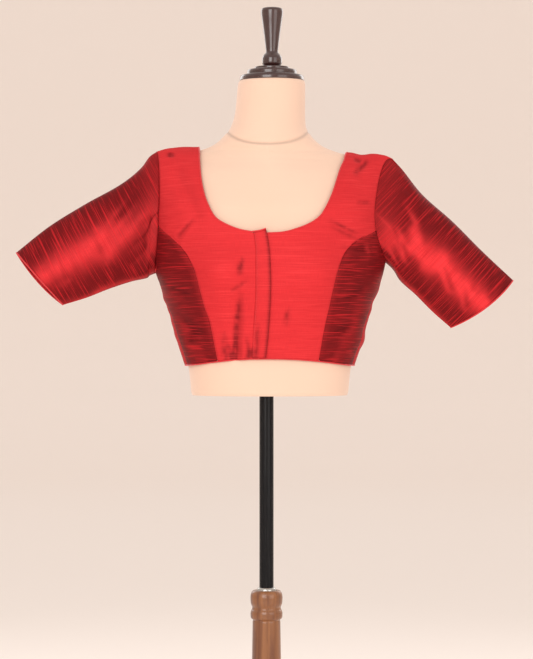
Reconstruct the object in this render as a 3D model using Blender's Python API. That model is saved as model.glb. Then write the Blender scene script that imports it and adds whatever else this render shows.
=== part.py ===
"""A choli blouse of shot raw silk, worn on a limbless dress form that stands on a turned post.

Lengths are in millimetres up to the last step, where each mesh is written in metres.
X runs across, with +X to the wearer's left, -Y is the front, and Z = 0 is the floor.
The origin is on the axis of the pole. Right and left are the wearer's.

The whole blouse is cut from one surface, body_point(theta, s). theta goes round the body, from 0 at the
left side, through 90 degrees at the centre front and 180 at the right side, to 270 at the centre back.
s is the height up to the armpit level, and past it the way over the shoulder, up to SHOULDER_TOP.
"""
from collections import namedtuple
from math import acos, copysign, cos, exp, hypot, pi, radians, sin

import bmesh
import bpy
from mathutils import Matrix, Vector

MM = 0.001

# Cloth and seams
CLOTH = 1.5
SEAM = 0.3
PIPING = 2.4
PIPING_GAP = 0.5
SLEEVE_GAP = 0.5

# Round sections
ROUND_SIDES = 24
SLEEVE_SIDES = 28
SLEEVE_RINGS = 10
FORM_SIDES = 36
FORM_RINGS = 26
PIPING_SIDES = 4

# Rows and columns of the panels
FRONT_ROWS, FRONT_COLUMNS, STRAP_ROWS = 10, 6, 11
SIDE_COLUMNS, SIDE_ARMHOLE_ROWS = 5, 3
BACK_ROWS, BACK_COLUMNS = 10, 9
HEM_STEPS = 56

# The body of the blouse: half widths and depths of its level sections
Section = namedtuple("Section", "z half_width front back")
BODY = [
    Section(930, 127.0, 89, 86),
    Section(943, 131.0, 90, 87),
    Section(975, 141.5, 94, 90),
    Section(1000, 148.5, 98, 92),
    Section(1020, 153.5, 101, 93),
    Section(1040, 159.0, 104, 95),
    Section(1070, 170.5, 107, 98),
    Section(1090, 177.0, 108, 101),
    Section(1110, 180.5, 106, 102),
    Section(1140, 182.5, 102, 102),
    Section(1180, 183.0, 95, 98),
]
BODY_CENTRE = 5.0
ROUNDNESS = 2.25
ARMPIT_LEVEL = 1180.0
SHOULDER_TOP = 1290.0
SHOULDER_ROUNDNESS = 1.3
SHOULDER_FLARE = 0.09

Cup = namedtuple("Cup", "x z rise half_width half_height")
CUPS = [Cup(-74, 1084, 16, 46, 44), Cup(84, 1084, 16, 46, 44)]

# The shoulder line, from the right armhole to the left one
Ridge = namedtuple("Ridge", "x z")
SHOULDER_LINE = [
    Ridge(-200, 1266),
    Ridge(-170, 1276),
    Ridge(-150, 1281),
    Ridge(-126, 1283),
    Ridge(-100, 1283),
    Ridge(0, 1280),
    Ridge(110, 1276),
    Ridge(135, 1274),
    Ridge(165, 1272),
    Ridge(182, 1270),
    Ridge(200, 1264),
]

# Edges of the panels, in front view
HEM_SIDE = 945.6
HEM_FRONT_RISE = 11.0
CENTRE_SEAM_X = -12.0
PLACKET_X = {"right": -19.2, "left": 4.5}
PLACKET_GAP = 0.4
BACK_NECK_Z = 1196.0

PrincessPoint = namedtuple("PrincessPoint", "z right_x left_x")
PRINCESS = [
    PrincessPoint(940, -75, 79.5),
    PrincessPoint(985, -81.3, 85),
    PrincessPoint(1013, -87, 90.5),
    PrincessPoint(1035, -95, 95.5),
    PrincessPoint(1060, -101.5, 101),
    PrincessPoint(1089, -109, 108),
    PrincessPoint(1113, -120.5, 117),
    PrincessPoint(1126, -130.5, 127),
    PrincessPoint(1137, -140, 140),
]
PRINCESS_TOP = {"right": 1159.0, "left": 1151.0}

NeckPoint = namedtuple("NeckPoint", "x z")
NECK = {
    "right": [
        NeckPoint(-22, 1146.5),
        NeckPoint(-42, 1150.5),
        NeckPoint(-64, 1159.5),
        NeckPoint(-80, 1171),
        NeckPoint(-94, 1195),
        NeckPoint(-100, 1213),
        NeckPoint(-104, 1235),
        NeckPoint(-105.5, 1262),
    ],
    "left": [
        NeckPoint(8, 1144.7),
        NeckPoint(31, 1147),
        NeckPoint(61, 1157),
        NeckPoint(81, 1168),
        NeckPoint(91, 1177),
        NeckPoint(102.5, 1203),
        NeckPoint(109, 1224),
        NeckPoint(115, 1248),
    ],
}
NECK_CENTRE_Z = 1144.5
NECK_SHOULDER_X = {"right": -106.0, "left": 119.0}

# Armholes: where each one crosses the shoulder line, how far round it lies at armpit level, its lowest point
Armhole = namedtuple("Armhole", "shoulder_x lean front_angle back_angle low_z")
ARMHOLES = {
    "right": Armhole(-171.0, 1.0, 22.0, 20.0, 1087.0),
    "left": Armhole(189.0, 2.0, 30.0, 24.0, 1104.0),
}
SIDE_SEAM_ANGLE = 16.0
SEAM_RADIUS = 100.0
MM_A_RADIAN = 170.0
EDGE_STEPS = 12
NECK_STEPS = 8
LOOPS = {}

# Sleeves: upper and lower fold in front view, half the depth, and how far the sleeve has swung forwards
SleeveRow = namedtuple("SleeveRow", "along top_x top_z low_x low_z half_depth y")
SLEEVES = {
    "right": [
        SleeveRow(0.10, -192, 1253, -184, 1080, 42, -3),
        SleeveRow(0.25, -222, 1227, -207, 1074.5, 39, -7),
        SleeveRow(0.50, -279, 1194, -242, 1063, 34, -14),
        SleeveRow(0.75, -333, 1160, -277, 1049, 30, -21),
        SleeveRow(1.00, -384, 1119, -312, 1038, 28, -28),
    ],
    "left": [
        SleeveRow(0.10, 210, 1249, 197, 1092, 42, 0),
        SleeveRow(0.25, 240, 1211, 206, 1077, 39, 1),
        SleeveRow(0.50, 288, 1168, 231, 1054, 34, 2),
        SleeveRow(0.75, 334, 1122, 257, 1028, 31, 3),
        SleeveRow(1.00, 382, 1077, 285, 1003.5, 29, 4),
    ],
}
SLEEVE_TILT = {"right": 8.0, "left": 0.0}
CUFF_BULGE = {"right": 3.0, "left": 7.0}
CUFF_SHARPNESS = 0.75
SLEEVE_CAP_FADE = 0.5

# Folds that the cloth has taken, as troughs (depth over 0) or ridges between two points of the front view
Fold = namedtuple("Fold", "x1 z1 x2 z2 half_width depth")
BODY_FOLDS = [
    Fold(-44, 1050, -46, 958, 9, 2.2),
    Fold(-33, 1052, -34, 958, 8, -1.0),
    Fold(-108, 1175, -138, 1238, 12, 1.8),
    Fold(104, 1166, 146, 1148, 9, 1.6),
    Fold(-128, 1018, -84, 948, 12, 1.6),
    Fold(132, 1030, 96, 952, 12, 1.4),
    Fold(-54, 1088, -26, 1068, 9, 1.2),
]
SLEEVE_FOLDS = {
    "right": [
        Fold(-186, 1160, -188, 1098, 9, 2.2),
        Fold(-204, 1226, -246, 1120, 14, 2.0),
        Fold(-296, 1168, -262, 1072, 14, -1.8),
        Fold(-340, 1130, -318, 1072, 10, 1.4),
    ],
    "left": [
        Fold(206, 1222, 226, 1128, 12, 2.4),
        Fold(236, 1196, 232, 1092, 12, -2.0),
        Fold(276, 1156, 252, 1066, 13, 1.8),
        Fold(322, 1104, 286, 1046, 10, 1.2),
    ],
}

# The dress form: level sections, from its flat underside to the top of the neck
FormRow = namedtuple("FormRow", "z half_width front back centre_x centre_y roundness slope")
FORM = [
    FormRow(898.6, 120.0, 82, 80, 5, 0, 2.3, 0),
    FormRow(903, 121.5, 84, 81, 5, 0, 2.3, 0),
    FormRow(937, 125.0, 86, 83, 5, 0, 2.25, 0),
    FormRow(975, 134.0, 88, 84.5, 5, 0, 2.25, 0),
    FormRow(1010, 143.0, 94.5, 87.5, 5, 0, 2.25, 0),
    FormRow(1045, 153.0, 99.5, 90.5, 5, 0, 2.25, 0),
    FormRow(1080, 165.0, 102.5, 95, 5, 0, 2.25, 0),
    FormRow(1115, 171.0, 100, 98, 5, 0, 2.25, 0),
    FormRow(1150, 173.0, 95, 97, 5, 0, 2.25, 0),
    FormRow(1185, 173.5, 88, 92, 5, 0, 2.15, 0),
    FormRow(1215, 172.5, 76, 80, 5, 0, 1.85, -0.01),
    FormRow(1240, 168.0, 66, 69, 5, 1, 1.5, -0.02),
    FormRow(1256, 158.0, 58, 59, 5, 1, 1.2, -0.02),
    FormRow(1264.5, 146.0, 55, 55, 4, 1, 1.08, -0.02),
    FormRow(1270.9, 129.0, 54, 54, 4, 1, 1.04, -0.017),
    FormRow(1275.9, 107.0, 53, 54, 3, 1, 1.08, -0.012),
    FormRow(1285, 85.0, 53.5, 54.5, 2, 3, 1.35, -0.008),
    FormRow(1300, 68.0, 55, 56, 2, 6, 1.75, -0.005),
    FormRow(1314, 58.5, 54, 55, 3, 7, 1.95, 0),
    FormRow(1335, 54.5, 52, 53, 5.5, 8, 2.0, 0),
    FormRow(1382, 52.0, 51, 51, 8, 8, 2.0, 0),
    FormRow(1386, 50.0, 49, 49, 8.5, 8, 2.0, 0),
]
FORM_CUPS = [Cup(-74, 1084, 13, 46, 44), Cup(84, 1084, 13, 46, 44)]

# The stand
POLE_RADIUS = 11.0
POLE_BOTTOM = 120.0
POLE_IN_FORM = 150.0
POLE_TOP = FORM[0].z + POLE_IN_FORM
SLIDE_GAP = 0.4
SOCKET_SIDES = 24
POST_TOP = 596.0
NECK_AXIS = (8.5, 8.0)

TurnedPoint = namedtuple("TurnedPoint", "radius z")
POST_PROFILE = [
    TurnedPoint(20.5, 36.3),
    TurnedPoint(27.0, 44),
    TurnedPoint(27.5, 62),
    TurnedPoint(21.5, 78),
    TurnedPoint(22.5, 110),
    TurnedPoint(25.5, 240),
    TurnedPoint(24.0, 400),
    TurnedPoint(21.5, 545),
    TurnedPoint(21.3, 551),
    TurnedPoint(24.2, 554),
    TurnedPoint(24.4, 561),
    TurnedPoint(22.0, 566),
    TurnedPoint(21.8, 572),
    TurnedPoint(24.4, 577),
    TurnedPoint(24.6, 589),
    TurnedPoint(23.0, 594),
    TurnedPoint(20.0, 596),
]
BASE_PROFILE = [
    TurnedPoint(155, 0),
    TurnedPoint(155, 12),
    TurnedPoint(150, 20),
    TurnedPoint(128, 25),
    TurnedPoint(70, 31),
    TurnedPoint(40, 36),
]
CAP_PROFILE = [
    TurnedPoint(50.0, 1386.3),
    TurnedPoint(50.0, 1391),
    TurnedPoint(48.0, 1394.3),
    TurnedPoint(39.0, 1395.5),
    TurnedPoint(39.0, 1401),
    TurnedPoint(37.0, 1403.3),
    TurnedPoint(27.5, 1404),
    TurnedPoint(27.5, 1407),
    TurnedPoint(26.0, 1408),
]
FINIAL_PROFILE = [
    TurnedPoint(11.5, 1408.3),
    TurnedPoint(15.3, 1413),
    TurnedPoint(15.3, 1423),
    TurnedPoint(12.0, 1428),
    TurnedPoint(9.6, 1430),
    TurnedPoint(10.4, 1436),
    TurnedPoint(13.2, 1462),
    TurnedPoint(17.2, 1492),
    TurnedPoint(17.0, 1498),
    TurnedPoint(13.0, 1500),
]
FERRULE_PROFILE = [
    TurnedPoint(11.6, 596.3),
    TurnedPoint(15.0, 596.3),
    TurnedPoint(14.4, 599.5),
    TurnedPoint(11.6, 600.5),
]

Counted = namedtuple("Counted", "row value")
Paint = namedtuple("Paint", "colour roughness metallic")
RED_SILK = Paint((0.72, 0.05, 0.06), 0.45, 0.0)
MAROON_SILK = Paint((0.25, 0.01, 0.015), 0.40, 0.0)
PIPING_SILK = Paint((0.62, 0.02, 0.03), 0.45, 0.0)
JERSEY = Paint((0.98, 0.70, 0.47), 0.90, 0.0)
DARK_TURNING = Paint((0.04, 0.012, 0.01), 0.15, 0.0)
BLACK_STEEL = Paint((0.01, 0.01, 0.012), 0.30, 1.0)
TURNED_WOOD = Paint((0.37, 0.145, 0.05), 0.40, 0.0)


def smooth_table(rows, at, key, column):
    """The value of one column at a place in the table, on a curve that doesn't overshoot its rows."""
    keys = [getattr(row, key) for row in rows]
    values = [getattr(row, column) for row in rows]
    if at <= keys[0]:
        return values[0]
    if at >= keys[-1]:
        return values[-1]
    i = max(k for k in range(len(keys) - 1) if keys[k] <= at)
    slopes = [(values[k + 1] - values[k]) / (keys[k + 1] - keys[k]) for k in range(len(keys) - 1)]

    def slope(k):
        if k in (0, len(keys) - 1):
            return slopes[0] if k == 0 else slopes[-1]
        before, after = slopes[k - 1], slopes[k]
        return 0.0 if before * after <= 0 else 2 * before * after / (before + after)

    width = keys[i + 1] - keys[i]
    t = (at - keys[i]) / width
    start = (1 + 2 * t) * (1 - t) ** 2 * values[i] + t * t * (3 - 2 * t) * values[i + 1]
    return start + width * (t * (1 - t) ** 2 * slope(i) - t * t * (1 - t) * slope(i + 1))


def row_value(rows, level, column):
    """The value of one column part of the way through the rows of a table, counted in rows."""
    counted = [Counted(k, getattr(row, column)) for k, row in enumerate(rows)]
    return smooth_table(counted, level, "row", "value")


def power(value, exponent):
    return copysign(abs(value) ** exponent, value)


def cup_rise(cups, x, z):
    return sum(c.rise * exp(-(((x - c.x) / c.half_width) ** 2) - ((z - c.z) / c.half_height) ** 2) for c in cups)


def fold_depth(folds, x, z):
    """How far the folds push the cloth in at a point of the front view: a soft trough round each line."""
    total = 0.0
    for fold in folds:
        dx, dz = fold.x2 - fold.x1, fold.z2 - fold.z1
        length = hypot(dx, dz)
        along = ((x - fold.x1) * dx + (z - fold.z1) * dz) / length**2
        across = ((x - fold.x1) * dz - (z - fold.z1) * dx) / length
        beyond = max(0.0, -along, along - 1) * length / fold.half_width
        total += fold.depth * exp(-((across / fold.half_width) ** 2) - beyond**2)
    return total


def body_section(s):
    """The level section at a height; past the armpit it widens a little towards the shoulder."""
    z = min(s, ARMPIT_LEVEL)
    half_width, front, back = (smooth_table(BODY, z, "z", column) for column in ("half_width", "front", "back"))
    over = max(0.0, s - ARMPIT_LEVEL) / (SHOULDER_TOP - ARMPIT_LEVEL)
    return Section(z, half_width * (1 + SHOULDER_FLARE * over**2), front, back)


def shoulder_z(x):
    return smooth_table(SHOULDER_LINE, x, "x", "z")


def body_surface(theta, s):
    """The outer face of the cloth, before its folds."""
    section = body_section(s)
    x = BODY_CENTRE + section.half_width * power(cos(theta), 2 / ROUNDNESS)
    across = power(sin(theta), 2 / ROUNDNESS)
    depth = section.front if across > 0 else section.back
    z, seam = s, 0.0
    if s > ARMPIT_LEVEL:
        share = (s - ARMPIT_LEVEL) / (SHOULDER_TOP - ARMPIT_LEVEL)
        over, seam = share * pi / 2, share * SEAM / 2
        z = ARMPIT_LEVEL + (shoulder_z(x) - ARMPIT_LEVEL) * sin(over) ** (2 / SHOULDER_ROUNDNESS)
        depth *= max(0.0, cos(over)) ** (2 / SHOULDER_ROUNDNESS)
    y = -depth * across - copysign(seam, across)
    if across > 0:
        y -= cup_rise(CUPS, x, z) * across**2
    return Vector((x, y, z))


def body_normal(theta, s):
    step, rise = 0.02, 2.0
    top = min(s + rise, SHOULDER_TOP)
    if s >= SHOULDER_TOP - 1:
        over_front = body_surface(abs(theta), SHOULDER_TOP - rise)
        over_back = body_surface(-abs(theta), SHOULDER_TOP - rise)
        up = over_back - over_front
        around = body_surface(theta + step, s) - body_surface(theta - step, s)
        normal = up.cross(around)
        return normal.normalized() if normal.z > 0 else -normal.normalized()
    around = body_surface(theta + step, s) - body_surface(theta - step, s)
    up = body_surface(theta, top) - body_surface(theta, s - rise)
    return up.cross(around).normalized()


def body_point(theta, s, out=0.0):
    """A point at a distance out from the outer face, with the folds of the front and like ones behind."""
    point = body_surface(theta, s)
    sink = fold_depth(BODY_FOLDS, point.x if point.y < 0 else -point.x, point.z)
    fade = min(1.0, abs(point.y) / 40)
    return point + body_normal(theta, s) * (out - sink * fade)


def angle_at(x, s, front=True):
    """How far round the body a place of the front view lies."""
    half_width = body_section(s).half_width
    across = max(-1.0, min(1.0, (x - BODY_CENTRE) / half_width))
    theta = acos(power(across, ROUNDNESS / 2))
    return theta if front else -theta


def way_up(x, z):
    """The s of a place of the front view."""
    if z <= ARMPIT_LEVEL:
        return z
    height = min(1.0, (z - ARMPIT_LEVEL) / (shoulder_z(x) - ARMPIT_LEVEL))
    over = acos(max(0.0, 1 - height**SHOULDER_ROUNDNESS) ** 0.5)
    return ARMPIT_LEVEL + over / (pi / 2) * (SHOULDER_TOP - ARMPIT_LEVEL)


def hem_z(theta):
    return HEM_SIDE + HEM_FRONT_RISE * max(0.0, sin(theta)) ** 3


def armhole_place(side, s, front=True):
    """Where the armhole seam crosses a level, as an angle round the body."""
    hole = ARMHOLES[side]
    level = radians(hole.front_angle if front else hole.back_angle)
    if s <= ARMPIT_LEVEL:
        down = min(1.0, (ARMPIT_LEVEL - s) / (ARMPIT_LEVEL - hole.low_z))
        theta = level * (1 - down**2.2) ** 0.5
    else:
        up = (s - ARMPIT_LEVEL) / (SHOULDER_TOP - ARMPIT_LEVEL)
        top = angle_at(hole.shoulder_x, SHOULDER_TOP)
        top = pi - top if side == "right" else top
        theta = level + (top - level) * up**hole.lean
    theta = pi - theta if side == "right" else theta
    return theta if front else -theta


def spline(places, count):
    """count + 1 evenly spaced places on a smooth curve through (theta, s) places."""
    scaled = [Vector((theta * MM_A_RADIAN, s)) for theta, s in places]
    ends = [2 * scaled[0] - scaled[1]] + scaled + [2 * scaled[-1] - scaled[-2]]
    fine = []
    for i in range(1, len(ends) - 2):
        a, b, c, d = ends[i - 1 : i + 3]
        for step in range(EDGE_STEPS):
            t = step / EDGE_STEPS
            bend = (2 * a - 5 * b + 4 * c - d) * t**2 + (3 * b - a - 3 * c + d) * t**3
            fine.append(0.5 * (2 * b + (c - a) * t + bend))
    fine.append(scaled[-1])
    lengths = [0.0]
    for a, b in zip(fine, fine[1:]):
        lengths.append(lengths[-1] + (b - a).length)
    result = []
    for k in range(count + 1):
        target = lengths[-1] * k / count
        i = max(0, min(len(fine) - 2, sum(length < target for length in lengths) - 1))
        share = (target - lengths[i]) / max(1e-9, lengths[i + 1] - lengths[i])
        point = fine[i].lerp(fine[i + 1], share)
        result.append((point.x / MM_A_RADIAN, point.y))
    return result


def sign(side):
    return -1 if side == "right" else 1


def neck_edge(side, count, gap=0.0):
    """The front neckline, from the centre seam to the shoulder."""
    start_x = CENTRE_SEAM_X + (gap if side == "left" else -gap)
    points = [(start_x, NECK_CENTRE_Z)] + [(p.x, p.z) for p in NECK[side]]
    places = [(angle_at(x, way_up(x, z)), way_up(x, z)) for x, z in points]
    places.append((angle_at(NECK_SHOULDER_X[side], SHOULDER_TOP), SHOULDER_TOP))
    return spline(places, count)


def back_neck_edge(side, count):
    """The back neckline, a quarter of a rounded oval from the centre back to the shoulder."""
    reach = NECK_SHOULDER_X[side] - BODY_CENTRE
    places = []
    for k in range(NECK_STEPS + 1):
        turn = k / NECK_STEPS * pi / 2
        x = BODY_CENTRE + reach * sin(turn) ** 0.75
        z = BACK_NECK_Z + (shoulder_z(x) - BACK_NECK_Z) * (1 - cos(turn) ** 0.75)
        places.append((angle_at(x, way_up(x, z), front=False), way_up(x, z)))
    places[0] = (-pi / 2, places[0][1])
    places[-1] = (angle_at(NECK_SHOULDER_X[side], SHOULDER_TOP, front=False), SHOULDER_TOP)
    return spline(places, count)


def armhole_edge(side, start_s, count, front=True, end_s=SHOULDER_TOP):
    """The armhole seam between two levels, from the lower one up."""
    ease = 2 if start_s == ARMHOLES[side].low_z else 1
    places = []
    for k in range(EDGE_STEPS + 1):
        s = start_s + (end_s - start_s) * (k / EDGE_STEPS) ** ease
        places.append((armhole_place(side, s, front), s))
    return spline(places, count)


def princess_edge(side, count, gap):
    """The princess seam, from the hem up to the armhole; gap is its distance towards the armhole."""
    places = []
    for row in PRINCESS:
        x = (row.right_x if side == "right" else row.left_x) + sign(side) * gap
        z = row.z - gap if places else hem_z(angle_at(x, row.z))
        places.append((angle_at(x, z), z))
    level = PRINCESS_TOP[side] - gap
    places.append((armhole_place(side, level), level))
    return spline(places, count)


def side_edge(side, count, front):
    """The side seam, from the hem, where it lies a little to the front, up to the lowest point of the armhole."""
    low = ARMHOLES[side].low_z
    gap = SEAM / 2 / SEAM_RADIUS if front else -SEAM / 2 / SEAM_RADIUS
    places = []
    for k in range(count + 1):
        share = k / count
        theta = radians(SIDE_SEAM_ANGLE) * (1 - share**2) + gap * (1 - share**4)
        s = hem_z(theta) + (low - hem_z(theta)) * share
        places.append((pi - theta if side == "right" else theta, s))
    return places


def patch(inner, outer, columns):
    """Rows of places between two edges that have the same number of places."""
    rows = []
    for (theta_a, s_a), (theta_b, s_b) in zip(inner, outer):
        shares = [k / columns for k in range(columns + 1)]
        rows.append([(theta_a + (theta_b - theta_a) * t, s_a + (s_b - s_a) * t) for t in shares])
    return rows


def follow_hem(rows, count):
    """Lets the first row of a patch follow the hem, and the rows above it less and less."""
    drops = [hem_z(theta) - s for theta, s in rows[0]]
    for k in range(count):
        fade = (1 - k / count) ** 2
        rows[k] = [(theta, s + drop * fade) for (theta, s), drop in zip(rows[k], drops)]
    return rows


def new_object(name, bm, paint, smooth_angle=40):
    """Turns a mesh in millimetres into an object with its own material."""
    bmesh.ops.recalc_face_normals(bm, faces=bm.faces)
    if bm.calc_volume(signed=True) < 0:
        bmesh.ops.reverse_faces(bm, faces=bm.faces)
    bmesh.ops.scale(bm, vec=(MM, MM, MM), verts=bm.verts)
    mesh = bpy.data.meshes.new(name)
    bm.to_mesh(mesh)
    bm.free()
    mesh.shade_smooth()
    mesh.set_sharp_from_angle(angle=radians(smooth_angle))
    obj = bpy.data.objects.new(name, mesh)
    bpy.context.collection.objects.link(obj)
    material = bpy.data.materials.new(name)
    material.use_nodes = True
    shader = material.node_tree.nodes["Principled BSDF"]
    shader.inputs["Base Color"].default_value = (*paint.colour, 1)
    shader.inputs["Roughness"].default_value = paint.roughness
    shader.inputs["Metallic"].default_value = paint.metallic
    mesh.materials.append(material)
    return obj


def cloth_wall(name, grids, point, paint, out=0.0):
    """A closed wall of cloth over grids of places; point(a, b, out) gives each place in space.

    Places that are the same in two grids, or at the two ends of a row, become one corner.
    """
    bm = bmesh.new()
    for level in (out, out - CLOTH):
        corners = {}
        for rows in grids:
            skin = []
            for row in rows:
                for a, b in row:
                    key = (round(a, 5), round(b, 5))
                    if key not in corners:
                        corners[key] = bm.verts.new(point(a, b, level))
                skin.append([corners[round(a, 5), round(b, 5)] for a, b in row])
            for low, high in zip(skin, skin[1:]):
                for k in range(len(low) - 1):
                    bm.faces.new((low[k], low[k + 1], high[k + 1], high[k]))
    bm.verts.index_update()
    bm.verts.ensure_lookup_table()
    count = len(bm.verts) // 2
    for edge in [edge for edge in bm.edges if edge.is_boundary]:
        a, b = edge.verts
        if a.index < count:
            bm.faces.new((a, b, bm.verts[b.index + count], bm.verts[a.index + count]))
    bmesh.ops.triangulate(bm, faces=bm.faces, quad_method="FIXED")
    return new_object(name, bm, paint)


def centre_places(side):
    """The centre front, from the centre seam to the princess seam; one column follows the placket's edge."""
    seam_x = CENTRE_SEAM_X + sign(side) * SEAM / 2
    bottom = hem_z(angle_at(seam_x, HEM_SIDE))
    levels = [bottom + (NECK_CENTRE_Z - bottom) * k / FRONT_ROWS for k in range(FRONT_ROWS + 1)]
    inner = [(angle_at(seam_x, s), s) for s in levels] + neck_edge(side, STRAP_ROWS, SEAM / 2)[1:]
    outer = princess_edge(side, FRONT_ROWS, -SEAM / 2)
    outer += armhole_edge(side, outer[-1][1], STRAP_ROWS)[1:]
    rows = []
    for k, ((theta_a, s_a), (theta_b, s_b)) in enumerate(zip(inner, outer)):
        shares = [c / FRONT_COLUMNS for c in range(FRONT_COLUMNS + 1)]
        if k <= FRONT_ROWS:
            edge = (angle_at(PLACKET_X[side], s_a) - theta_a) / (theta_b - theta_a)
            shares = [0] + [edge + (1 - edge) * c / (FRONT_COLUMNS - 1) for c in range(FRONT_COLUMNS)]
        flat = 2 - max(0, k - FRONT_ROWS) / STRAP_ROWS
        rows.append([(theta_a + (theta_b - theta_a) * t, s_a + (s_b - s_a) * t**flat) for t in shares])
    return follow_hem(rows, FRONT_ROWS)


def centre_front(side):
    rows = centre_places(side)
    if side == "right":
        rows = [row[::-1] for row in rows]
    cloth_wall(f"front_centre_{side}", [rows], body_point, RED_SILK)


def side_front(side):
    """From the princess seam to the side seam, with a short stretch of the armhole."""
    inner = princess_edge(side, FRONT_ROWS, SEAM / 2)
    outer = side_edge(side, FRONT_ROWS - SIDE_ARMHOLE_ROWS, front=True)
    top = inner[-1][1] - SEAM
    outer += armhole_edge(side, ARMHOLES[side].low_z, SIDE_ARMHOLE_ROWS, end_s=top)[1:]
    cloth_wall(f"front_side_{side}", [follow_hem(patch(inner, outer, SIDE_COLUMNS), FRONT_ROWS)], body_point, MAROON_SILK)


def back():
    """The back in one piece: each half from the centre back to its side seam and armhole."""
    bottom, top = hem_z(-pi / 2), way_up(BODY_CENTRE, BACK_NECK_Z)
    levels = [bottom + (top - bottom) * k / BACK_ROWS for k in range(BACK_ROWS + 1)]
    grids = []
    for side in ("right", "left"):
        inner = [(-pi / 2, s) for s in levels] + back_neck_edge(side, STRAP_ROWS)[1:]
        outer = side_edge(side, BACK_ROWS + STRAP_ROWS - SLEEVE_SIDES // 2, front=False)
        outer += armhole_edge(side, ARMHOLES[side].low_z, SLEEVE_SIDES // 2, front=False)[1:]
        outer = [(theta - 2 * pi if theta > pi / 2 else theta, s) for theta, s in outer]
        grids.append(follow_hem(patch(inner, outer, BACK_COLUMNS), BACK_ROWS))
    cloth_wall("back_panel", grids, body_point, RED_SILK)


def placket():
    """The strip down the centre front, on the points of the fronts below it, moved out."""
    right, left = centre_places("right"), centre_places("left")
    rows = [r[1::-1] + l[:2] for r, l in zip(right[: FRONT_ROWS + 1], left)]
    cloth_wall("front_placket", [rows], body_point, RED_SILK, out=CLOTH + PLACKET_GAP)


def armhole_loop(side, turn):
    """A place on the armhole seam: turn goes from the shoulder down the front, and up the back."""
    if side not in LOOPS:
        low, princess = ARMHOLES[side].low_z, PRINCESS_TOP[side]
        edge = armhole_edge(side, low, SIDE_ARMHOLE_ROWS, end_s=princess)
        edge += armhole_edge(side, princess, STRAP_ROWS)[1:]
        LOOPS[side] = edge[::-1] + armhole_edge(side, low, SLEEVE_SIDES // 2, front=False)[1:]
    edge = LOOPS[side]
    at = (turn % (2 * pi)) / (2 * pi) * (len(edge) - 1)
    i = min(int(at), len(edge) - 2)
    (theta_a, s_a), (theta_b, s_b) = edge[i], edge[i + 1]
    if abs(theta_b - theta_a) > pi:
        theta_b += 2 * pi if theta_a > theta_b else -2 * pi
    share = at - i
    return theta_a + (theta_b - theta_a) * share, s_a + (s_b - s_a) * share


def sleeve_start(side, turn):
    """The sleeve's edge at the armhole, a seam's gap off the panels, the normal there and the way off them."""
    place = armhole_loop(side, turn)
    before = body_surface(*armhole_loop(side, turn - 0.1))
    after = body_surface(*armhole_loop(side, turn + 0.1))
    normal = body_normal(*place)
    away = normal.cross(after - before).normalized() * sign(side)
    return body_point(*place) + away * SLEEVE_GAP, normal, away


def sleeve_section(side, turn, along):
    """A lens across the sleeve, with its folds above and below."""
    hole = ARMHOLES[side]
    high, low = body_surface(angle_at(hole.shoulder_x, SHOULDER_TOP), SHOULDER_TOP), hole.low_z
    side_x = body_surface(pi if side == "right" else 0.0, low).x
    rows = [SleeveRow(0, high.x, high.z, side_x, low, 43, 0)] + SLEEVES[side]
    columns = ("top_x", "top_z", "low_x", "low_z", "half_depth", "y")
    top_x, top_z, low_x, low_z, depth, y = (smooth_table(rows, along, "along", c) for c in columns)
    top, bottom = Vector((top_x, y, top_z)), Vector((low_x, y, low_z))
    half = (top - bottom) / 2
    outwards = Vector((half.z, 0, -half.x)).normalized() * sign(side)
    tilt = radians(SLEEVE_TILT[side])
    forwards = Vector((0, -cos(tilt), 0)) - outwards * sin(tilt)
    across = sin(turn) * abs(sin(turn)) ** (CUFF_SHARPNESS * along)
    bulge = CUFF_BULGE[side] * along**3 * sin(turn) ** 2
    return (top + bottom) / 2 + half * cos(turn) + forwards * across * depth + outwards * bulge


def sleeve_surface(side, turn, along):
    start = sleeve_start(side, turn)[0]
    fade = max(0.0, 1 - along / SLEEVE_CAP_FADE) ** 2
    point = sleeve_section(side, turn, along) + (start - sleeve_section(side, turn, 0)) * fade
    sink = fold_depth(SLEEVE_FOLDS[side], point.x, point.z) * min(1, along * 8) * abs(sin(turn)) ** 0.7
    return point - Vector((0, -copysign(sink, sin(turn)), 0))


def sleeve_normal(side, turn, along):
    step, stride = 0.12, 0.03
    if along == 0:
        start, normal, away = sleeve_start(side, turn)
        mixed = (normal + sleeve_normal(side, turn, 1 / SLEEVE_RINGS)).normalized()
        return (mixed - away * max(0.0, mixed.dot(away))).normalized()
    around = sleeve_surface(side, turn + step, along) - sleeve_surface(side, turn - step, along)
    ahead = sleeve_surface(side, turn, min(1, along + stride)) - sleeve_surface(side, turn, along - stride)
    return around.cross(ahead).normalized() * sign(side)


def sleeve(side):
    """A tube from the armhole to the cuff."""
    rows = []
    for i in range(SLEEVE_RINGS + 1):
        turns = [2 * pi * (k % SLEEVE_SIDES) / SLEEVE_SIDES for k in range(SLEEVE_SIDES + 1)]
        rows.append([(turn, i / SLEEVE_RINGS) for turn in turns])

    def point(turn, along, out):
        return sleeve_surface(side, turn, along) + sleeve_normal(side, turn, along) * out

    cloth_wall(f"sleeve_{side}", [rows], point, MAROON_SILK)


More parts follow.
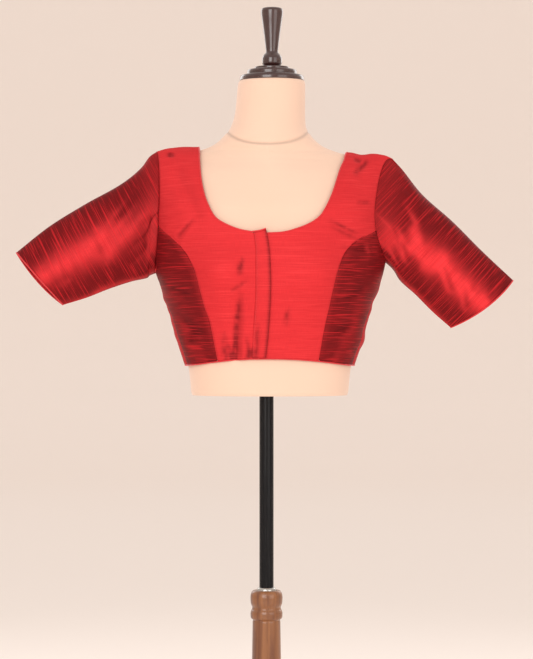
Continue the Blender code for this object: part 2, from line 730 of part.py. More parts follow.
def binding(name, edge, closed):
    """Piping along an edge, given as points with the normal and the way past the edge."""
    bm = bmesh.new()
    rings = []
    for point, normal, past in edge:
        middle = point + past * (PIPING_GAP + PIPING / 2) - normal * (CLOTH / 2)
        ring = []
        for k in range(PIPING_SIDES):
            turn = 2 * pi * (k + 0.5) / PIPING_SIDES
            ring.append(bm.verts.new(middle + (past * cos(turn) + normal * sin(turn)) * PIPING / 2))
        rings.append(ring)
    for a, b in zip(rings, rings[1:] + (rings[:1] if closed else [])):
        for k in range(PIPING_SIDES):
            n = (k + 1) % PIPING_SIDES
            bm.faces.new((a[k], a[n], b[n], b[k]))
    if not closed:
        bm.faces.new(rings[0])
        bm.faces.new(rings[-1])
    bmesh.ops.triangulate(bm, faces=bm.faces, quad_method="FIXED")
    new_object(name, bm, PIPING_SILK)


def along_places(places, turn_sign):
    """Points, normals and the way past the edge for places of the body, in order."""
    points = [body_point(theta, s) for theta, s in places]
    result = []
    for k, (theta, s) in enumerate(places):
        tangent = points[min(k + 1, len(points) - 1)] - points[max(k - 1, 0)]
        normal = body_normal(theta, s)
        result.append((points[k], normal, (normal.cross(tangent) * turn_sign).normalized()))
    return result


def neck_piping():
    right, left = neck_edge("right", STRAP_ROWS, SEAM / 2), neck_edge("left", STRAP_ROWS, SEAM / 2)
    back_right, back_left = back_neck_edge("right", STRAP_ROWS), back_neck_edge("left", STRAP_ROWS)
    places = right + back_right[::-1][1:] + back_left[1:] + left[::-1][1:]
    binding("neck_piping", along_places(places, -1), closed=False)


def hem_piping():
    first, last = angle_at(CENTRE_SEAM_X - SEAM, HEM_SIDE), angle_at(CENTRE_SEAM_X + SEAM, HEM_SIDE) + 2 * pi
    places = []
    for k in range(HEM_STEPS + 1):
        theta = first + (last - first) * k / HEM_STEPS
        places.append((theta, hem_z(theta)))
    binding("hem_piping", along_places(places, 1), closed=False)


def cuff_piping(side):
    edge = []
    for k in range(SLEEVE_SIDES):
        turn = 2 * pi * k / SLEEVE_SIDES
        end = sleeve_surface(side, turn, 1)
        past = (end - sleeve_surface(side, turn, 0.96)).normalized()
        edge.append((end, sleeve_normal(side, turn, 1), past))
    binding(f"cuff_piping_{side}", edge, closed=True)


def form_surface(turn, level):
    """The dress form; level runs through the rows of FORM."""
    row = FormRow(*(row_value(FORM, level, column) for column in FormRow._fields))
    x = row.half_width * power(cos(turn), 2 / row.roundness)
    across = power(sin(turn), 2 / row.roundness)
    y = -across * (row.front if across > 0 else row.back)
    if across > 0:
        y -= cup_rise(FORM_CUPS, x + row.centre_x, row.z) * across**2
    return Vector((x + row.centre_x, y + row.centre_y, row.z + row.slope * x))


def form():
    bm = bmesh.new()
    rings = []
    for i in range(FORM_RINGS + 1):
        level = i / FORM_RINGS * (len(FORM) - 1)
        ring = [bm.verts.new(form_surface(2 * pi * k / FORM_SIDES, level)) for k in range(FORM_SIDES)]
        rings.append(ring)
    for a, b in zip(rings, rings[1:]):
        for k in range(FORM_SIDES):
            n = (k + 1) % FORM_SIDES
            bm.faces.new((a[k], a[n], b[n], b[k]))
    bm.faces.new(rings[0])
    bm.faces.new(rings[-1])
    bmesh.ops.triangulate(bm, faces=bm.faces, quad_method="FIXED")
    torso = new_object("form_torso", bm, JERSEY)
    bore(torso, FORM[0].z - 20, FORM[0].z + POLE_IN_FORM + SEAM)


def bore(obj, low, high):
    """A blind hole for the pole, with room for it to slide."""
    bm = bmesh.new()
    place = Matrix.Translation((0, 0, (low + high) / 2))
    radius = POLE_RADIUS + SLIDE_GAP
    bmesh.ops.create_cone(
        bm, cap_ends=True, segments=SOCKET_SIDES, radius1=radius, radius2=radius, depth=high - low, matrix=place
    )
    cutter = new_object(f"{obj.name}_bore", bm, BLACK_STEEL)
    cutter.hide_render = True
    cutter.display_type = "WIRE"
    cut = obj.modifiers.new("bore", "BOOLEAN")
    cut.operation = "DIFFERENCE"
    cut.solver = "EXACT"
    cut.object = cutter


def turned(name, profile, paint, centre=(0, 0), closed=False):
    """A piece turned on the lathe: a profile spun about an upright axis; closed makes a ring."""
    bm = bmesh.new()
    points = [(p.radius, p.z) for p in profile]
    if closed:
        points.append(points[0])
    else:
        points = [(0, points[0][1])] + points + [(0, points[-1][1])]
    corners = [bm.verts.new((radius, 0, z)) for radius, z in points]
    edges = [bm.edges.new(pair) for pair in zip(corners, corners[1:])]
    bmesh.ops.spin(
        bm, geom=corners + edges, axis=(0, 0, 1), cent=(0, 0, 0), angle=2 * pi, steps=ROUND_SIDES, use_merge=True
    )
    bmesh.ops.remove_doubles(bm, verts=bm.verts, dist=1e-3)
    bmesh.ops.translate(bm, vec=(*centre, 0), verts=bm.verts)
    bmesh.ops.triangulate(bm, faces=bm.faces, quad_method="FIXED")
    return new_object(name, bm, paint)


def main():
    for obj in list(bpy.data.objects):
        bpy.data.objects.remove(obj)
    for side in ("right", "left"):
        centre_front(side)
        side_front(side)
        sleeve(side)
        cuff_piping(side)
    back()
    placket()
    neck_piping()
    hem_piping()
    form()
    turned("neck_cap", CAP_PROFILE, DARK_TURNING, NECK_AXIS)
    turned("finial", FINIAL_PROFILE, DARK_TURNING, NECK_AXIS)
    turned("pole", [TurnedPoint(POLE_RADIUS, POLE_BOTTOM), TurnedPoint(POLE_RADIUS, POLE_TOP)], BLACK_STEEL)
    bore(turned("post", POST_PROFILE, TURNED_WOOD), POLE_BOTTOM - SEAM, POST_TOP + 20)
    turned("ferrule", FERRULE_PROFILE, BLACK_STEEL, closed=True)
    turned("base", BASE_PROFILE, TURNED_WOOD)


main()
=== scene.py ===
"""The looks of a silk choli blouse on a jersey dress form with a turned stand.

The shapes are worked out in millimetres, as the pieces are cut and sewn, and written to the meshes in metres.
X runs across, with +X to the wearer's left, -Y is the front, and Z = 0 is the floor.
The blouse lies on one surface, body_surface(theta, s). theta goes round the body, from 0 at the left side,
through 90 degrees at the centre front and 180 at the right side. s is the height up to the armpit level, and
past it the way over the shoulder, up to SHOULDER_TOP.
"""
from collections import namedtuple
from math import acos, copysign, cos, exp, hypot, pi, radians, sin

import bmesh
import bpy
from mathutils import Matrix, Vector, noise


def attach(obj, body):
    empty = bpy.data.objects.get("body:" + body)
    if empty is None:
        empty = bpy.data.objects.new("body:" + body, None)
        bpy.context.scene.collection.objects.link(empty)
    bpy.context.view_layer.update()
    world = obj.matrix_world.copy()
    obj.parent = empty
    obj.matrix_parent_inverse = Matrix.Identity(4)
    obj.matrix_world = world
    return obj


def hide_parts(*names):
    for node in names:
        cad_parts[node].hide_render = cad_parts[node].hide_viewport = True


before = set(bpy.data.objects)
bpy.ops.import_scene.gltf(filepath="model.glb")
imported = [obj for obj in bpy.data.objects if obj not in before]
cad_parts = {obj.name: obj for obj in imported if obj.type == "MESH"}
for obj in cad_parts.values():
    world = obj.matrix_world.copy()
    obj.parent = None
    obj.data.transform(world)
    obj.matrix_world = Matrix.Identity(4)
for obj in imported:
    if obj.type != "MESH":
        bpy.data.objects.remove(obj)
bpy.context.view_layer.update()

bl_info = {
    "name": "Choli blouse on a dress form",
    "version": (1, 0, 0),
    "blender": (4, 5, 0),
    "location": "3D View > Sidebar > Choli",
    "description": "Adds a silk choli blouse, the dress form that wears it, its stand and a plain studio",
    "category": "Add Mesh",
}

MM = 0.001

# How much finer the cloth is cut than the solids below it
FINENESS = 4
CREASE_FINENESS = 2
FRONT_ROWS = 10 * FINENESS
FRONT_COLUMNS = 6 * FINENESS
STRAP_ROWS = 11 * FINENESS
SIDE_COLUMNS = 5 * FINENESS
SIDE_ARMHOLE_ROWS = 3 * FINENESS
BACK_ROWS = 10 * FINENESS
BACK_COLUMNS = 9 * FINENESS
SLEEVE_SIDES = 28 * FINENESS
SLEEVE_RINGS = 12 * FINENESS
PLACKET_COLUMNS = 10
HEM_STEPS = 240

# The body of the blouse: half widths and depths of its level sections
Section = namedtuple("Section", "z half_width front back")
BODY = [
    Section(930, 127.0, 89, 86),
    Section(943, 131.0, 90, 87),
    Section(975, 141.5, 94, 90),
    Section(1000, 148.5, 98, 92),
    Section(1020, 153.5, 101, 93),
    Section(1040, 159.0, 104, 95),
    Section(1070, 170.5, 107, 98),
    Section(1090, 177.0, 108, 101),
    Section(1110, 180.5, 106, 102),
    Section(1140, 182.5, 102, 102),
    Section(1180, 183.0, 95, 98),
]
BODY_CENTRE = 5.0
ROUNDNESS = 2.25
ARMPIT_LEVEL = 1180.0
SHOULDER_TOP = 1290.0
SHOULDER_ROUNDNESS = 1.3
SHOULDER_FLARE = 0.09

Cup = namedtuple("Cup", "x z rise half_width half_height")
CUPS = [Cup(-74, 1084, 16, 46, 44), Cup(84, 1084, 16, 46, 44)]

# The shoulder line, from the right armhole to the left one
Ridge = namedtuple("Ridge", "x z")
SHOULDER_LINE = [
    Ridge(-200, 1266),
    Ridge(-170, 1276),
    Ridge(-150, 1281),
    Ridge(-126, 1283),
    Ridge(-100, 1283),
    Ridge(0, 1280),
    Ridge(110, 1275.5),
    Ridge(131, 1274.5),
    Ridge(148, 1271),
    Ridge(164, 1272.5),
    Ridge(182, 1270),
    Ridge(196, 1264.5),
    Ridge(206, 1259),
]

# Edges of the panels, in front view
HEM_SIDE = 945.6
HEM_FRONT_RISE = 11.0
CENTRE_SEAM_X = -12.0
BACK_NECK_Z = 1196.0

PrincessPoint = namedtuple("PrincessPoint", "z right_x left_x")
PRINCESS = [
    PrincessPoint(940, -75, 79.5),
    PrincessPoint(985, -81.3, 85),
    PrincessPoint(1013, -87, 90.5),
    PrincessPoint(1035, -95, 95.5),
    PrincessPoint(1060, -101.5, 101),
    PrincessPoint(1089, -109, 108),
    PrincessPoint(1113, -120.5, 117),
    PrincessPoint(1126, -130.5, 127),
    PrincessPoint(1137, -140, 140),
]
PRINCESS_TOP = {"right": 1159.0, "left": 1151.0}

NeckPoint = namedtuple("NeckPoint", "x z")
NECK = {
    "right": [
        NeckPoint(-22, 1146.5),
        NeckPoint(-42, 1150.5),
        NeckPoint(-64, 1159.5),
        NeckPoint(-80, 1171),
        NeckPoint(-91.5, 1193),
        NeckPoint(-97.5, 1212),
        NeckPoint(-101.5, 1233),
        NeckPoint(-104.5, 1262),
    ],
    "left": [
        NeckPoint(8, 1144.7),
        NeckPoint(31, 1147),
        NeckPoint(61, 1157),
        NeckPoint(80.5, 1169.5),
        NeckPoint(91, 1184.5),
        NeckPoint(100.5, 1205),
        NeckPoint(107.5, 1225),
        NeckPoint(114.5, 1247),
        NeckPoint(121, 1261),
    ],
}
NECK_CENTRE_Z = 1144.5
NECK_LEVEL_SHARE = 0.15
NECK_SHOULDER_X = {"right": -106.0, "left": 126.0}

# Armholes: where each one crosses the shoulder line, how far round it lies at armpit level, its lowest point
Armhole = namedtuple("Armhole", "shoulder_x lean front_angle back_angle low_z")
ARMHOLES = {
    "right": Armhole(-171.0, 1.0, 22.0, 20.0, 1087.0),
    "left": Armhole(196.0, 2.0, 30.0, 24.0, 1104.0),
}
ARMHOLE_ROUNDNESS = 2.2
SIDE_SEAM_ANGLE = 16.0
BACK_NECK_ROUNDNESS = 0.75

# How far the cloth runs round the body for each radian, where lengths on it are compared
MM_A_RADIAN = 170.0

# The placket: its stitched seam and its free edge, which bows, in front view
PlacketPoint = namedtuple("PlacketPoint", "z seam_x edge_x")
PLACKET = [
    PlacketPoint(955, -22.6, -1.1),
    PlacketPoint(1004, -19.5, 3.6),
    PlacketPoint(1066, -16.4, 6.6),
    PlacketPoint(1115, -16.4, 4.8),
    PlacketPoint(1152, -20.0, -0.6),
]
PLACKET_TOP = {"seam": 1147.0, "edge": 1151.0}
PLACKET_HEM_GAP = 0.5

# It stands off the fronts: least at its stitched seam, most at its free edge
PLACKET_OUT = {"seam": 0.7, "middle": 2.0, "edge": 3.2}
PLACKET_THICKNESS = 1.5

# Its stitches: how far across their line lies, and each one's half sizes as shares of a stitch with its gap
STITCH_LINE = 0.09
STITCH_LINE_STEPS = 200
STITCH_HALF_SIZES = Vector((0.38, 0.11, 0.09))

# Sleeves: upper and lower fold in front view, half the depth, and how far the sleeve has swung forwards
SleeveRow = namedtuple("SleeveRow", "along top_x top_z low_x low_z half_depth y")
SLEEVES = {
    "right": [
        SleeveRow(0.04, -181, 1269, -182, 1083, 42, -1),
        SleeveRow(0.10, -192, 1253, -184, 1080, 42, -3),
        SleeveRow(0.25, -222, 1227, -207, 1074.5, 39, -7),
        SleeveRow(0.50, -279, 1194, -242, 1063, 34, -14),
        SleeveRow(0.75, -333, 1160, -277, 1049, 30, -21),
        SleeveRow(1.00, -384, 1119, -312, 1038, 28, -28),
    ],
    "left": [
        SleeveRow(0.10, 210, 1249, 197, 1092, 42, 0),
        SleeveRow(0.25, 240, 1211, 206, 1077, 39, 1),
        SleeveRow(0.50, 288, 1168, 231, 1054, 34, 2),
        SleeveRow(0.75, 334, 1122, 257, 1028, 31, 3),
        SleeveRow(1.00, 382, 1077, 285, 1003.5, 29, 4),
    ],
}
SLEEVE_SEAM_GAP = 0.2
SLEEVE_HEAD_HALF_DEPTH = 43.0
SLEEVE_TILT = {"right": 8.0, "left": 0.0}
CUFF_BULGE = {"right": 3.0, "left": 7.0}
CUFF_SHARPNESS = 0.75
SLEEVE_CAP_FADE = 0.5
SLEEVE_RADIUS = 55.0

# Folds that the cloth has taken, as troughs (depth over 0) or ridges between two points of the front view
Fold = namedtuple("Fold", "x1 z1 x2 z2 half_width depth")
BODY_FOLDS = [
    Fold(-44, 1050, -46, 958, 9, 2.2),
    Fold(-33, 1052, -34, 958, 8, -1.0),
    Fold(-108, 1175, -138, 1238, 12, 1.8),
    Fold(104, 1166, 146, 1148, 9, 1.6),
    Fold(-128, 1018, -84, 948, 12, 1.6),
    Fold(132, 1030, 96, 952, 12, 1.4),
    Fold(-54, 1088, -26, 1068, 9, 1.2),
]
FRONT_CREASES = [
    Fold(-148, 1275, -150, 1266, 6, 1.3),
    Fold(-111, 1169, -137, 1139, 3.2, 0.9),
    Fold(-106, 1166, -131, 1136, 3.5, -0.7),
    Fold(-36, 1111, -40, 1080, 3.2, 0.9),
    Fold(-42, 1105, -43, 1079, 3.0, 0.6),
    Fold(-55, 1056, -29, 1073, 3.4, 0.9),
    Fold(-52, 1050, -27, 1067, 3.6, -0.6),
    Fold(-43, 1045, -45, 1012, 4.0, 1.0),
    Fold(-46, 1022, -50, 925, 4.4, 1.3),
    Fold(-66, 1000, -60, 930, 7, 0.8),
    Fold(32, 1034, 28, 1003, 4.5, 0.8),
    Fold(135, 1264, 146, 1259, 4, 1.0),
    Fold(158, 1263, 134, 1238, 4.5, 1.1),
    Fold(137, 1194, 161, 1194, 3.6, 0.8),
    Fold(96, 1166, 140, 1146, 3.2, 0.9),
    Fold(97, 1157, 140, 1136, 3.2, 0.8),
    Fold(112, 1126, 150, 1119, 4, 0.6),
    Fold(152, 1130, 160, 1111, 3.4, -1.3),
    Fold(147, 1130, 154, 1110, 3.8, 0.9),
    Fold(-100, 1004, -122, 975, 8, 0.9),
    Fold(-150, 1064, -118, 1050, 7, 0.7),
    Fold(-131, 1010, -96, 999, 6, 0.6),
    Fold(150, 1062, 118, 1046, 7, 0.8),
    Fold(136, 1008, 100, 990, 7, 0.7),
    Fold(-32, 992, -20, 935, 5, 0.8),
    Fold(-58, 978, -48, 935, 4, 0.8),
    Fold(-20, 972, -42, 940, 4, 0.6),
    Fold(-14, 1012, -18, 930, 4, 0.9),
]
BACK_CREASES = [
    Fold(-20, 1062, -24, 925, 6, 1.4),
    Fold(-8, 1050, -5, 930, 7, -0.8),
    Fold(38, 1040, 48, 930, 5, 1.1),
    Fold(-142, 1212, -88, 1188, 6, 1.1),
    Fold(-134, 1180, -80, 1164, 5, 0.8),
    Fold(138, 1206, 96, 1184, 5, 1.0),
    Fold(130, 1166, 70, 1158, 6, 0.7),
    Fold(-96, 1120, -40, 1106, 7, 0.8),
    Fold(110, 1104, 52, 1096, 6, 0.7),
    Fold(-128, 1040, -92, 1022, 6, 0.9),
    Fold(126, 1032, 84, 1010, 6, 0.8),
]
SLEEVE_FOLDS = {
    "right": [
        Fold(-186, 1160, -188, 1098, 9, 2.2),
        Fold(-204, 1226, -246, 1120, 14, 2.0),
        Fold(-296, 1168, -262, 1072, 14, -1.8),
        Fold(-340, 1130, -318, 1072, 10, 1.4),
    ],
    "left": [
        Fold(206, 1222, 226, 1128, 12, 2.4),
        Fold(236, 1196, 232, 1092, 12, -2.0),
        Fold(276, 1156, 252, 1066, 13, 1.8),
        Fold(322, 1104, 286, 1046, 10, 1.2),
    ],
}
SLEEVE_CREASES = {
    "right": [
        Fold(-183, 1144, -180, 1098, 3.4, 1.3),
        Fold(-190, 1142, -192, 1104, 4.5, -1.0),
        Fold(-198, 1216, -228, 1176, 5, 1.0),
        Fold(-204, 1196, -236, 1150, 6, -0.8),
        Fold(-260, 1150, -246, 1104, 5, 0.8),
        Fold(-318, 1128, -304, 1078, 5, 0.9),
        Fold(-352, 1122, -340, 1094, 5, 0.7),
    ],
    "left": [
        Fold(202, 1236, 222, 1208, 4, 1.2),
        Fold(210, 1238, 236, 1206, 4, -0.9),
        Fold(206, 1196, 224, 1166, 5, 1.0),
        Fold(200, 1150, 214, 1108, 4.5, 1.1),
        Fold(272, 1094, 282, 1062, 4.5, 0.9),
        Fold(302, 1064, 306, 1034, 4.5, 0.9),
        Fold(330, 1096, 322, 1064, 5, 0.7),
        Fold(344, 1076, 340, 1048, 5, -0.7),
    ],
}

# Folds and creases fade out this near to the shoulder line and the sides, where the cloth turns edge on
FOLD_FADE = 40.0
CREASE_FADE = 14.0
CREASE_GAIN = 1.3

# How the sewn edges and the cloth between them behave.
# The hem puckers under its piping, and the side seams below the bust.
SEAM_DIP = 0.7
SEAM_DIP_WIDTH = 2.6
RIPPLE_HEIGHT = 0.45
RIPPLE_LENGTH = 34.0
PUCKER_HEIGHT = 0.7
PUCKER_LENGTH = 7.0
PUCKER_REACH = 7.0
SIDE_PUCKER_HEIGHT = 6.0
SIDE_PUCKER_LENGTH = 15.0
SIDE_PUCKER_TOP = 1075.0
SIDE_PUCKER_FADE = 20.0
SIDE_PUCKER_NARROWNESS = 14

# The painted light on the silk: from 0, painted shade, to 1, a painted highlight.
# Each number is the share that one cause adds as painted highlight or takes away as painted shade.
RedPaintedLight = namedtuple("RedPaintedLight", "everywhere facing_front in_creases far_flank rolled_edge")
RED_PAINTED_LIGHT = RedPaintedLight(0.3, 0.72, 0.8, 0.9, 0.95)
SidePaintedLight = namedtuple("SidePaintedLight", "everywhere turned_to_front turned_up in_creases")
SIDE_PAINTED_LIGHT = SidePaintedLight(0.08, 1.6, 0.9, 0.3)
# How wide the painted shadow along the placket's free edge is, in millimetres
PLACKET_SHADOW_WIDTH = 3.0
CREASE_SHADE_POWER = 1.7
CREASE_SHADE_UNEVENNESS = 0.8

# The painted highlights along a sleeve: how high on its round each lies, how wide it is, and its share
Gleam = namedtuple("Gleam", "height width share")
SLEEVE_DULL = 0.06
SLEEVE_MIDDLE = {"right": Gleam(-0.02, 0.24, 0.62), "left": Gleam(-0.02, 0.24, 0.85)}
SLEEVE_EDGE = Gleam(-0.88, 0.12, 0.6)
SLEEVE_CAP = Gleam(0.0, 0.14, 0.3)
MIDDLE_AT_CAP = 0.45
MIDDLE_GROWTH = 2.2

# The cut of each sheet that shows: its width and length laid flat, and its area, in metres
Cut = namedtuple("Cut", "width length area")

# The dress form: level sections, from its flat underside to the top of the neck
FormRow = namedtuple("FormRow", "z half_width front back centre_x centre_y roundness slope")
FORM = [
    FormRow(898.6, 120.0, 82, 80, 5, 0, 2.3, 0),
    FormRow(903, 121.5, 84, 81, 5, 0, 2.3, 0),
    FormRow(937, 125.0, 86, 83, 5, 0, 2.25, 0),
    FormRow(975, 134.0, 88, 84.5, 5, 0, 2.25, 0),
    FormRow(1010, 143.0, 94.5, 87.5, 5, 0, 2.25, 0),
    FormRow(1045, 153.0, 99.5, 90.5, 5, 0, 2.25, 0),
    FormRow(1080, 165.0, 102.5, 95, 5, 0, 2.25, 0),
    FormRow(1115, 171.0, 100, 98, 5, 0, 2.25, 0),
    FormRow(1150, 173.0, 95, 97, 5, 0, 2.25, 0),
    FormRow(1185, 173.5, 88, 92, 5, 0, 2.15, 0),
    FormRow(1215, 172.5, 76, 80, 5, 0, 1.85, -0.01),
    FormRow(1240, 168.0, 66, 69, 5, 1, 1.5, -0.02),
    FormRow(1256, 158.0, 58, 59, 5, 1, 1.2, -0.02),
    FormRow(1264.5, 146.0, 55, 55, 4, 1, 1.08, -0.02),
    FormRow(1270.9, 129.0, 54, 54, 4, 1, 1.04, -0.017),
    FormRow(1275.9, 107.0, 53, 54, 3, 1, 1.08, -0.012),
    FormRow(1285, 85.0, 53.5, 54.5, 2, 3, 1.35, -0.008),
    FormRow(1300, 68.0, 55, 56, 2, 6, 1.75, -0.005),
    FormRow(1314, 58.5, 54, 55, 3, 7, 1.95, 0),
    FormRow(1335, 54.5, 52, 53, 5.5, 8, 2.0, 0),
    FormRow(1382, 52.0, 51, 51, 8, 8, 2.0, 0),
    FormRow(1386, 50.0, 49, 49, 8.5, 8, 2.0, 0),
]
FORM_CUPS = [Cup(-74, 1084, 13, 46, 44), Cup(84, 1084, 13, 46, 44)]
FORM_SIDES = 144
FORM_RINGS = 210
FORM_FLOOR_RINGS = 8
SOCKET_RADIUS = 11.5
SOCKET_DEPTH = 24.0
NECK_SEAM_SIDE_Z = 1306.0
NECK_SEAM_FRONT_DROP = 22.0
NECK_SEAM_BACK_RISE = 6.0
NECK_SEAM_DEPTH = 0.9
NECK_SEAM_WIDTH = 1.7

# Turned pieces: radius, height, and how far each corner of the profile is rounded
TurnedPoint = namedtuple("TurnedPoint", "radius z soft")
NECK_AXIS = (8.5, 8.0)
ROUND_SIDES = 96
CORNER_STEPS = 8
POLE_RADIUS = 11.0
POLE_BOTTOM = 120.0
POLE_TOP = 1048.6
CAP_PROFILE = [
    TurnedPoint(0.0, 1386.3, 0),
    TurnedPoint(50.0, 1386.3, 1),
    TurnedPoint(50.0, 1391.5, 2),
    TurnedPoint(48.0, 1394.6, 2),
    TurnedPoint(39.0, 1395.5, 1),
    TurnedPoint(39.0, 1401.2, 1.5),
    TurnedPoint(37.0, 1403.4, 1.5),
    TurnedPoint(27.5, 1404.0, 0.8),
    TurnedPoint(27.5, 1407.2, 0.8),
    TurnedPoint(25.5, 1408.0, 1),
    TurnedPoint(0.0, 1408.0, 0),
]
FINIAL_PROFILE = [
    TurnedPoint(0.0, 1408.3, 0),
    TurnedPoint(11.5, 1408.3, 1),
    TurnedPoint(15.6, 1412.5, 4),
    TurnedPoint(15.6, 1423.5, 4),
    TurnedPoint(11.0, 1428.5, 2),
    TurnedPoint(9.5, 1431.0, 3),
    TurnedPoint(10.4, 1440.0, 12),
    TurnedPoint(14.0, 1468.0, 20),
    TurnedPoint(17.6, 1492.0, 6),
    TurnedPoint(17.0, 1498.0, 3),
    TurnedPoint(12.5, 1500.0, 3),
    TurnedPoint(0.0, 1500.0, 0),
]
POLE_PROFILE = [
    TurnedPoint(0.0, POLE_BOTTOM, 0),
    TurnedPoint(POLE_RADIUS, POLE_BOTTOM, 1),
    TurnedPoint(POLE_RADIUS, POLE_TOP, 1),
    TurnedPoint(0.0, POLE_TOP, 0),
]
POST_PROFILE = [
    TurnedPoint(0.0, 36.3, 0),
    TurnedPoint(20.5, 36.3, 1),
    TurnedPoint(27.2, 43, 6),
    TurnedPoint(27.6, 62, 8),
    TurnedPoint(21.4, 78, 8),
    TurnedPoint(22.5, 110, 30),
    TurnedPoint(25.5, 240, 100),
    TurnedPoint(24.0, 400, 100),
    TurnedPoint(21.6, 547, 1),
    TurnedPoint(21.0, 550.5, 1.5),
    TurnedPoint(24.8, 553, 3.5),
    TurnedPoint(24.9, 563, 3.5),
    TurnedPoint(21.4, 569, 3.5),
    TurnedPoint(24.6, 575, 3.5),
    TurnedPoint(25.2, 588, 5),
    TurnedPoint(22.0, 596, 3.5),
    TurnedPoint(15.6, 596, 0.8),
    TurnedPoint(15.0, 593, 0.8),
    TurnedPoint(11.6, 593, 0.5),
    TurnedPoint(11.6, 560, 0),
    TurnedPoint(0.0, 560, 0),
]
BASE_PROFILE = [
    TurnedPoint(0.0, 0.0, 0),
    TurnedPoint(155.0, 0.0, 1.2),
    TurnedPoint(155.0, 12.0, 3),
    TurnedPoint(150.0, 20.0, 4),
    TurnedPoint(128.0, 25.0, 10),
    TurnedPoint(70.0, 31.0, 16),
    TurnedPoint(40.0, 36.0, 3),
    TurnedPoint(0.0, 36.0, 0),
]
FERRULE_PROFILE = [
    TurnedPoint(11.3, 592.0, 0.3),
    TurnedPoint(15.2, 593.6, 0.5),
    TurnedPoint(15.2, 597.0, 1.2),
    TurnedPoint(13.8, 600.2, 1.5),
    TurnedPoint(11.3, 600.8, 0.3),
    TurnedPoint(11.3, 592.0, 0),
]

# The camera stands level in front, and the photo's height is this much at the pole
VIEW_DISTANCE = 3.6
VIEW_HEIGHT = 1.0
FRAME_HEIGHT = 1.0215
SENSOR = 36.0


def linear(code):
    """An sRGB hex colour as linear red, green, blue and alpha."""
    parts = [int(code[k : k + 2], 16) / 255 for k in (1, 3, 5)]
    return tuple(c / 12.92 if c <= 0.04045 else ((c + 0.055) / 1.055) ** 2.4 for c in parts) + (1.0,)


def colour_property(name, description, code):
    return bpy.props.FloatVectorProperty(
        name=name, description=description, default=linear(code), size=4, min=0, max=1, subtype="COLOR"
    )


def length_property(name, description, millimetres):
    length = millimetres * MM
    return bpy.props.FloatProperty(name=name, description=description, default=length, unit="LENGTH")


class CholiCloth(bpy.types.PropertyGroup):
    """What a user would change on the blouse."""

    thickness: length_property("Cloth thickness", "Thickness of each panel", 1.1)
    piping: length_property("Piping", "Diameter of the piping on the bound edges", 2.4)
    stitch: length_property("Stitch", "Length of one stitch with its gap", 3.0)
    red: colour_property("Red", "Ground of the centre fronts, the placket and the back", "#D22D32")
    red_weft: colour_property("Red weft", "Lighter threads of the red silk", "#F5484A")
    maroon: colour_property("Maroon", "Ground of the side fronts and the sleeves", "#5C080D")
    # A painted highlight colour: the maroon silk takes it where its painted light is high
    maroon_painted_gleam: colour_property("Gleam", "The maroon silk where it catches the light", "#EE3A3E")
    maroon_slub: colour_property("Slub", "Bright slubs in the maroon silk", "#CC242A")
    piping_red: colour_property("Piping red", "Satin of the bound edges", "#DC222A")


class CholiForm(bpy.types.PropertyGroup):
    """What a user would change on the dress form and its stand."""

    jersey: colour_property("Jersey", "Cover of the form", "#E7C8B3")
    lacquer: colour_property("Lacquer", "Cap and finial on the neck", "#2A1210")
    steel: colour_property("Steel", "Paint on the pole", "#0C0C0E")
    wood: colour_property("Wood", "Light grain of the post and the base", "#8E592E")
    wood_dark: colour_property("Dark grain", "Dark grain of the post and the base", "#613115")


class Track:
    """A smooth curve through one column of a table, which doesn't overshoot its rows."""

    def __init__(self, rows, key, column):
        self.keys = [getattr(row, key) for row in rows]
        self.values = [getattr(row, column) for row in rows]
        runs = [
            (b - a) / (kb - ka)
            for a, b, ka, kb in zip(self.values, self.values[1:], self.keys, self.keys[1:])
        ]
        self.slopes = [runs[0]]
        for before, after in zip(runs, runs[1:]):
            self.slopes.append(0.0 if before * after <= 0 else 2 * before * after / (before + after))
        self.slopes.append(runs[-1])

    def at(self, place):
        keys, values = self.keys, self.values
        if place <= keys[0]:
            return values[0]
        if place >= keys[-1]:
            return values[-1]
        i = 0
        while keys[i + 1] <= place:
            i += 1
        width = keys[i + 1] - keys[i]
        t = (place - keys[i]) / width
        between = (1 + 2 * t) * (1 - t) ** 2 * values[i] + t * t * (3 - 2 * t) * values[i + 1]
        bend = t * (1 - t) ** 2 * self.slopes[i] - t * t * (1 - t) * self.slopes[i + 1]
        return between + width * bend


def tracks(rows, key):
    """A smooth curve for each column of a table but its key."""
    return {column: Track(rows, key, column) for column in rows[0]._fields if column != key}


BODY_TRACKS = tracks(BODY, "z")
SHOULDER_TRACK = Track(SHOULDER_LINE, "x", "z")
PLACKET_TRACKS = tracks(PLACKET, "z")
Numbered = namedtuple("Numbered", "number value")
FORM_TRACKS = {
    column: Track([Numbered(k, getattr(row, column)) for k, row in enumerate(FORM)], "number", "value")
    for column in FormRow._fields
}


def power(value, exponent):
    """A power that keeps the sign."""
    return copysign(abs(value) ** exponent, value)


def sign(side):
    return -1 if side == "right" else 1


def cup_rise(cups, x, z):
    total = 0.0
    for cup in cups:
        total += cup.rise * exp(-(((x - cup.x) / cup.half_width) ** 2) - ((z - cup.z) / cup.half_height) ** 2)
    return total


def fold_depth(folds, x, z, tapered=False):
    """How far the folds push the cloth in at a point of the front view: a soft trough round each line.

    A tapered fold is deepest at its middle and runs out at its ends.
    """
    total = 0.0
    for fold in folds:
        dx, dz = fold.x2 - fold.x1, fold.z2 - fold.z1
        length = hypot(dx, dz)
        across = ((x - fold.x1) * dz - (z - fold.z1) * dx) / length / fold.half_width
        if abs(across) > 3:
            continue
        along = ((x - fold.x1) * dx + (z - fold.z1) * dz) / length**2
        beyond = max(0.0, -along, along - 1) * length / fold.half_width
        end = max(0.0, 1 - (2 * along - 1) ** 2) ** 0.5 if tapered else 1.0
        total += fold.depth * end * exp(-(across**2) - beyond**2)
    return total


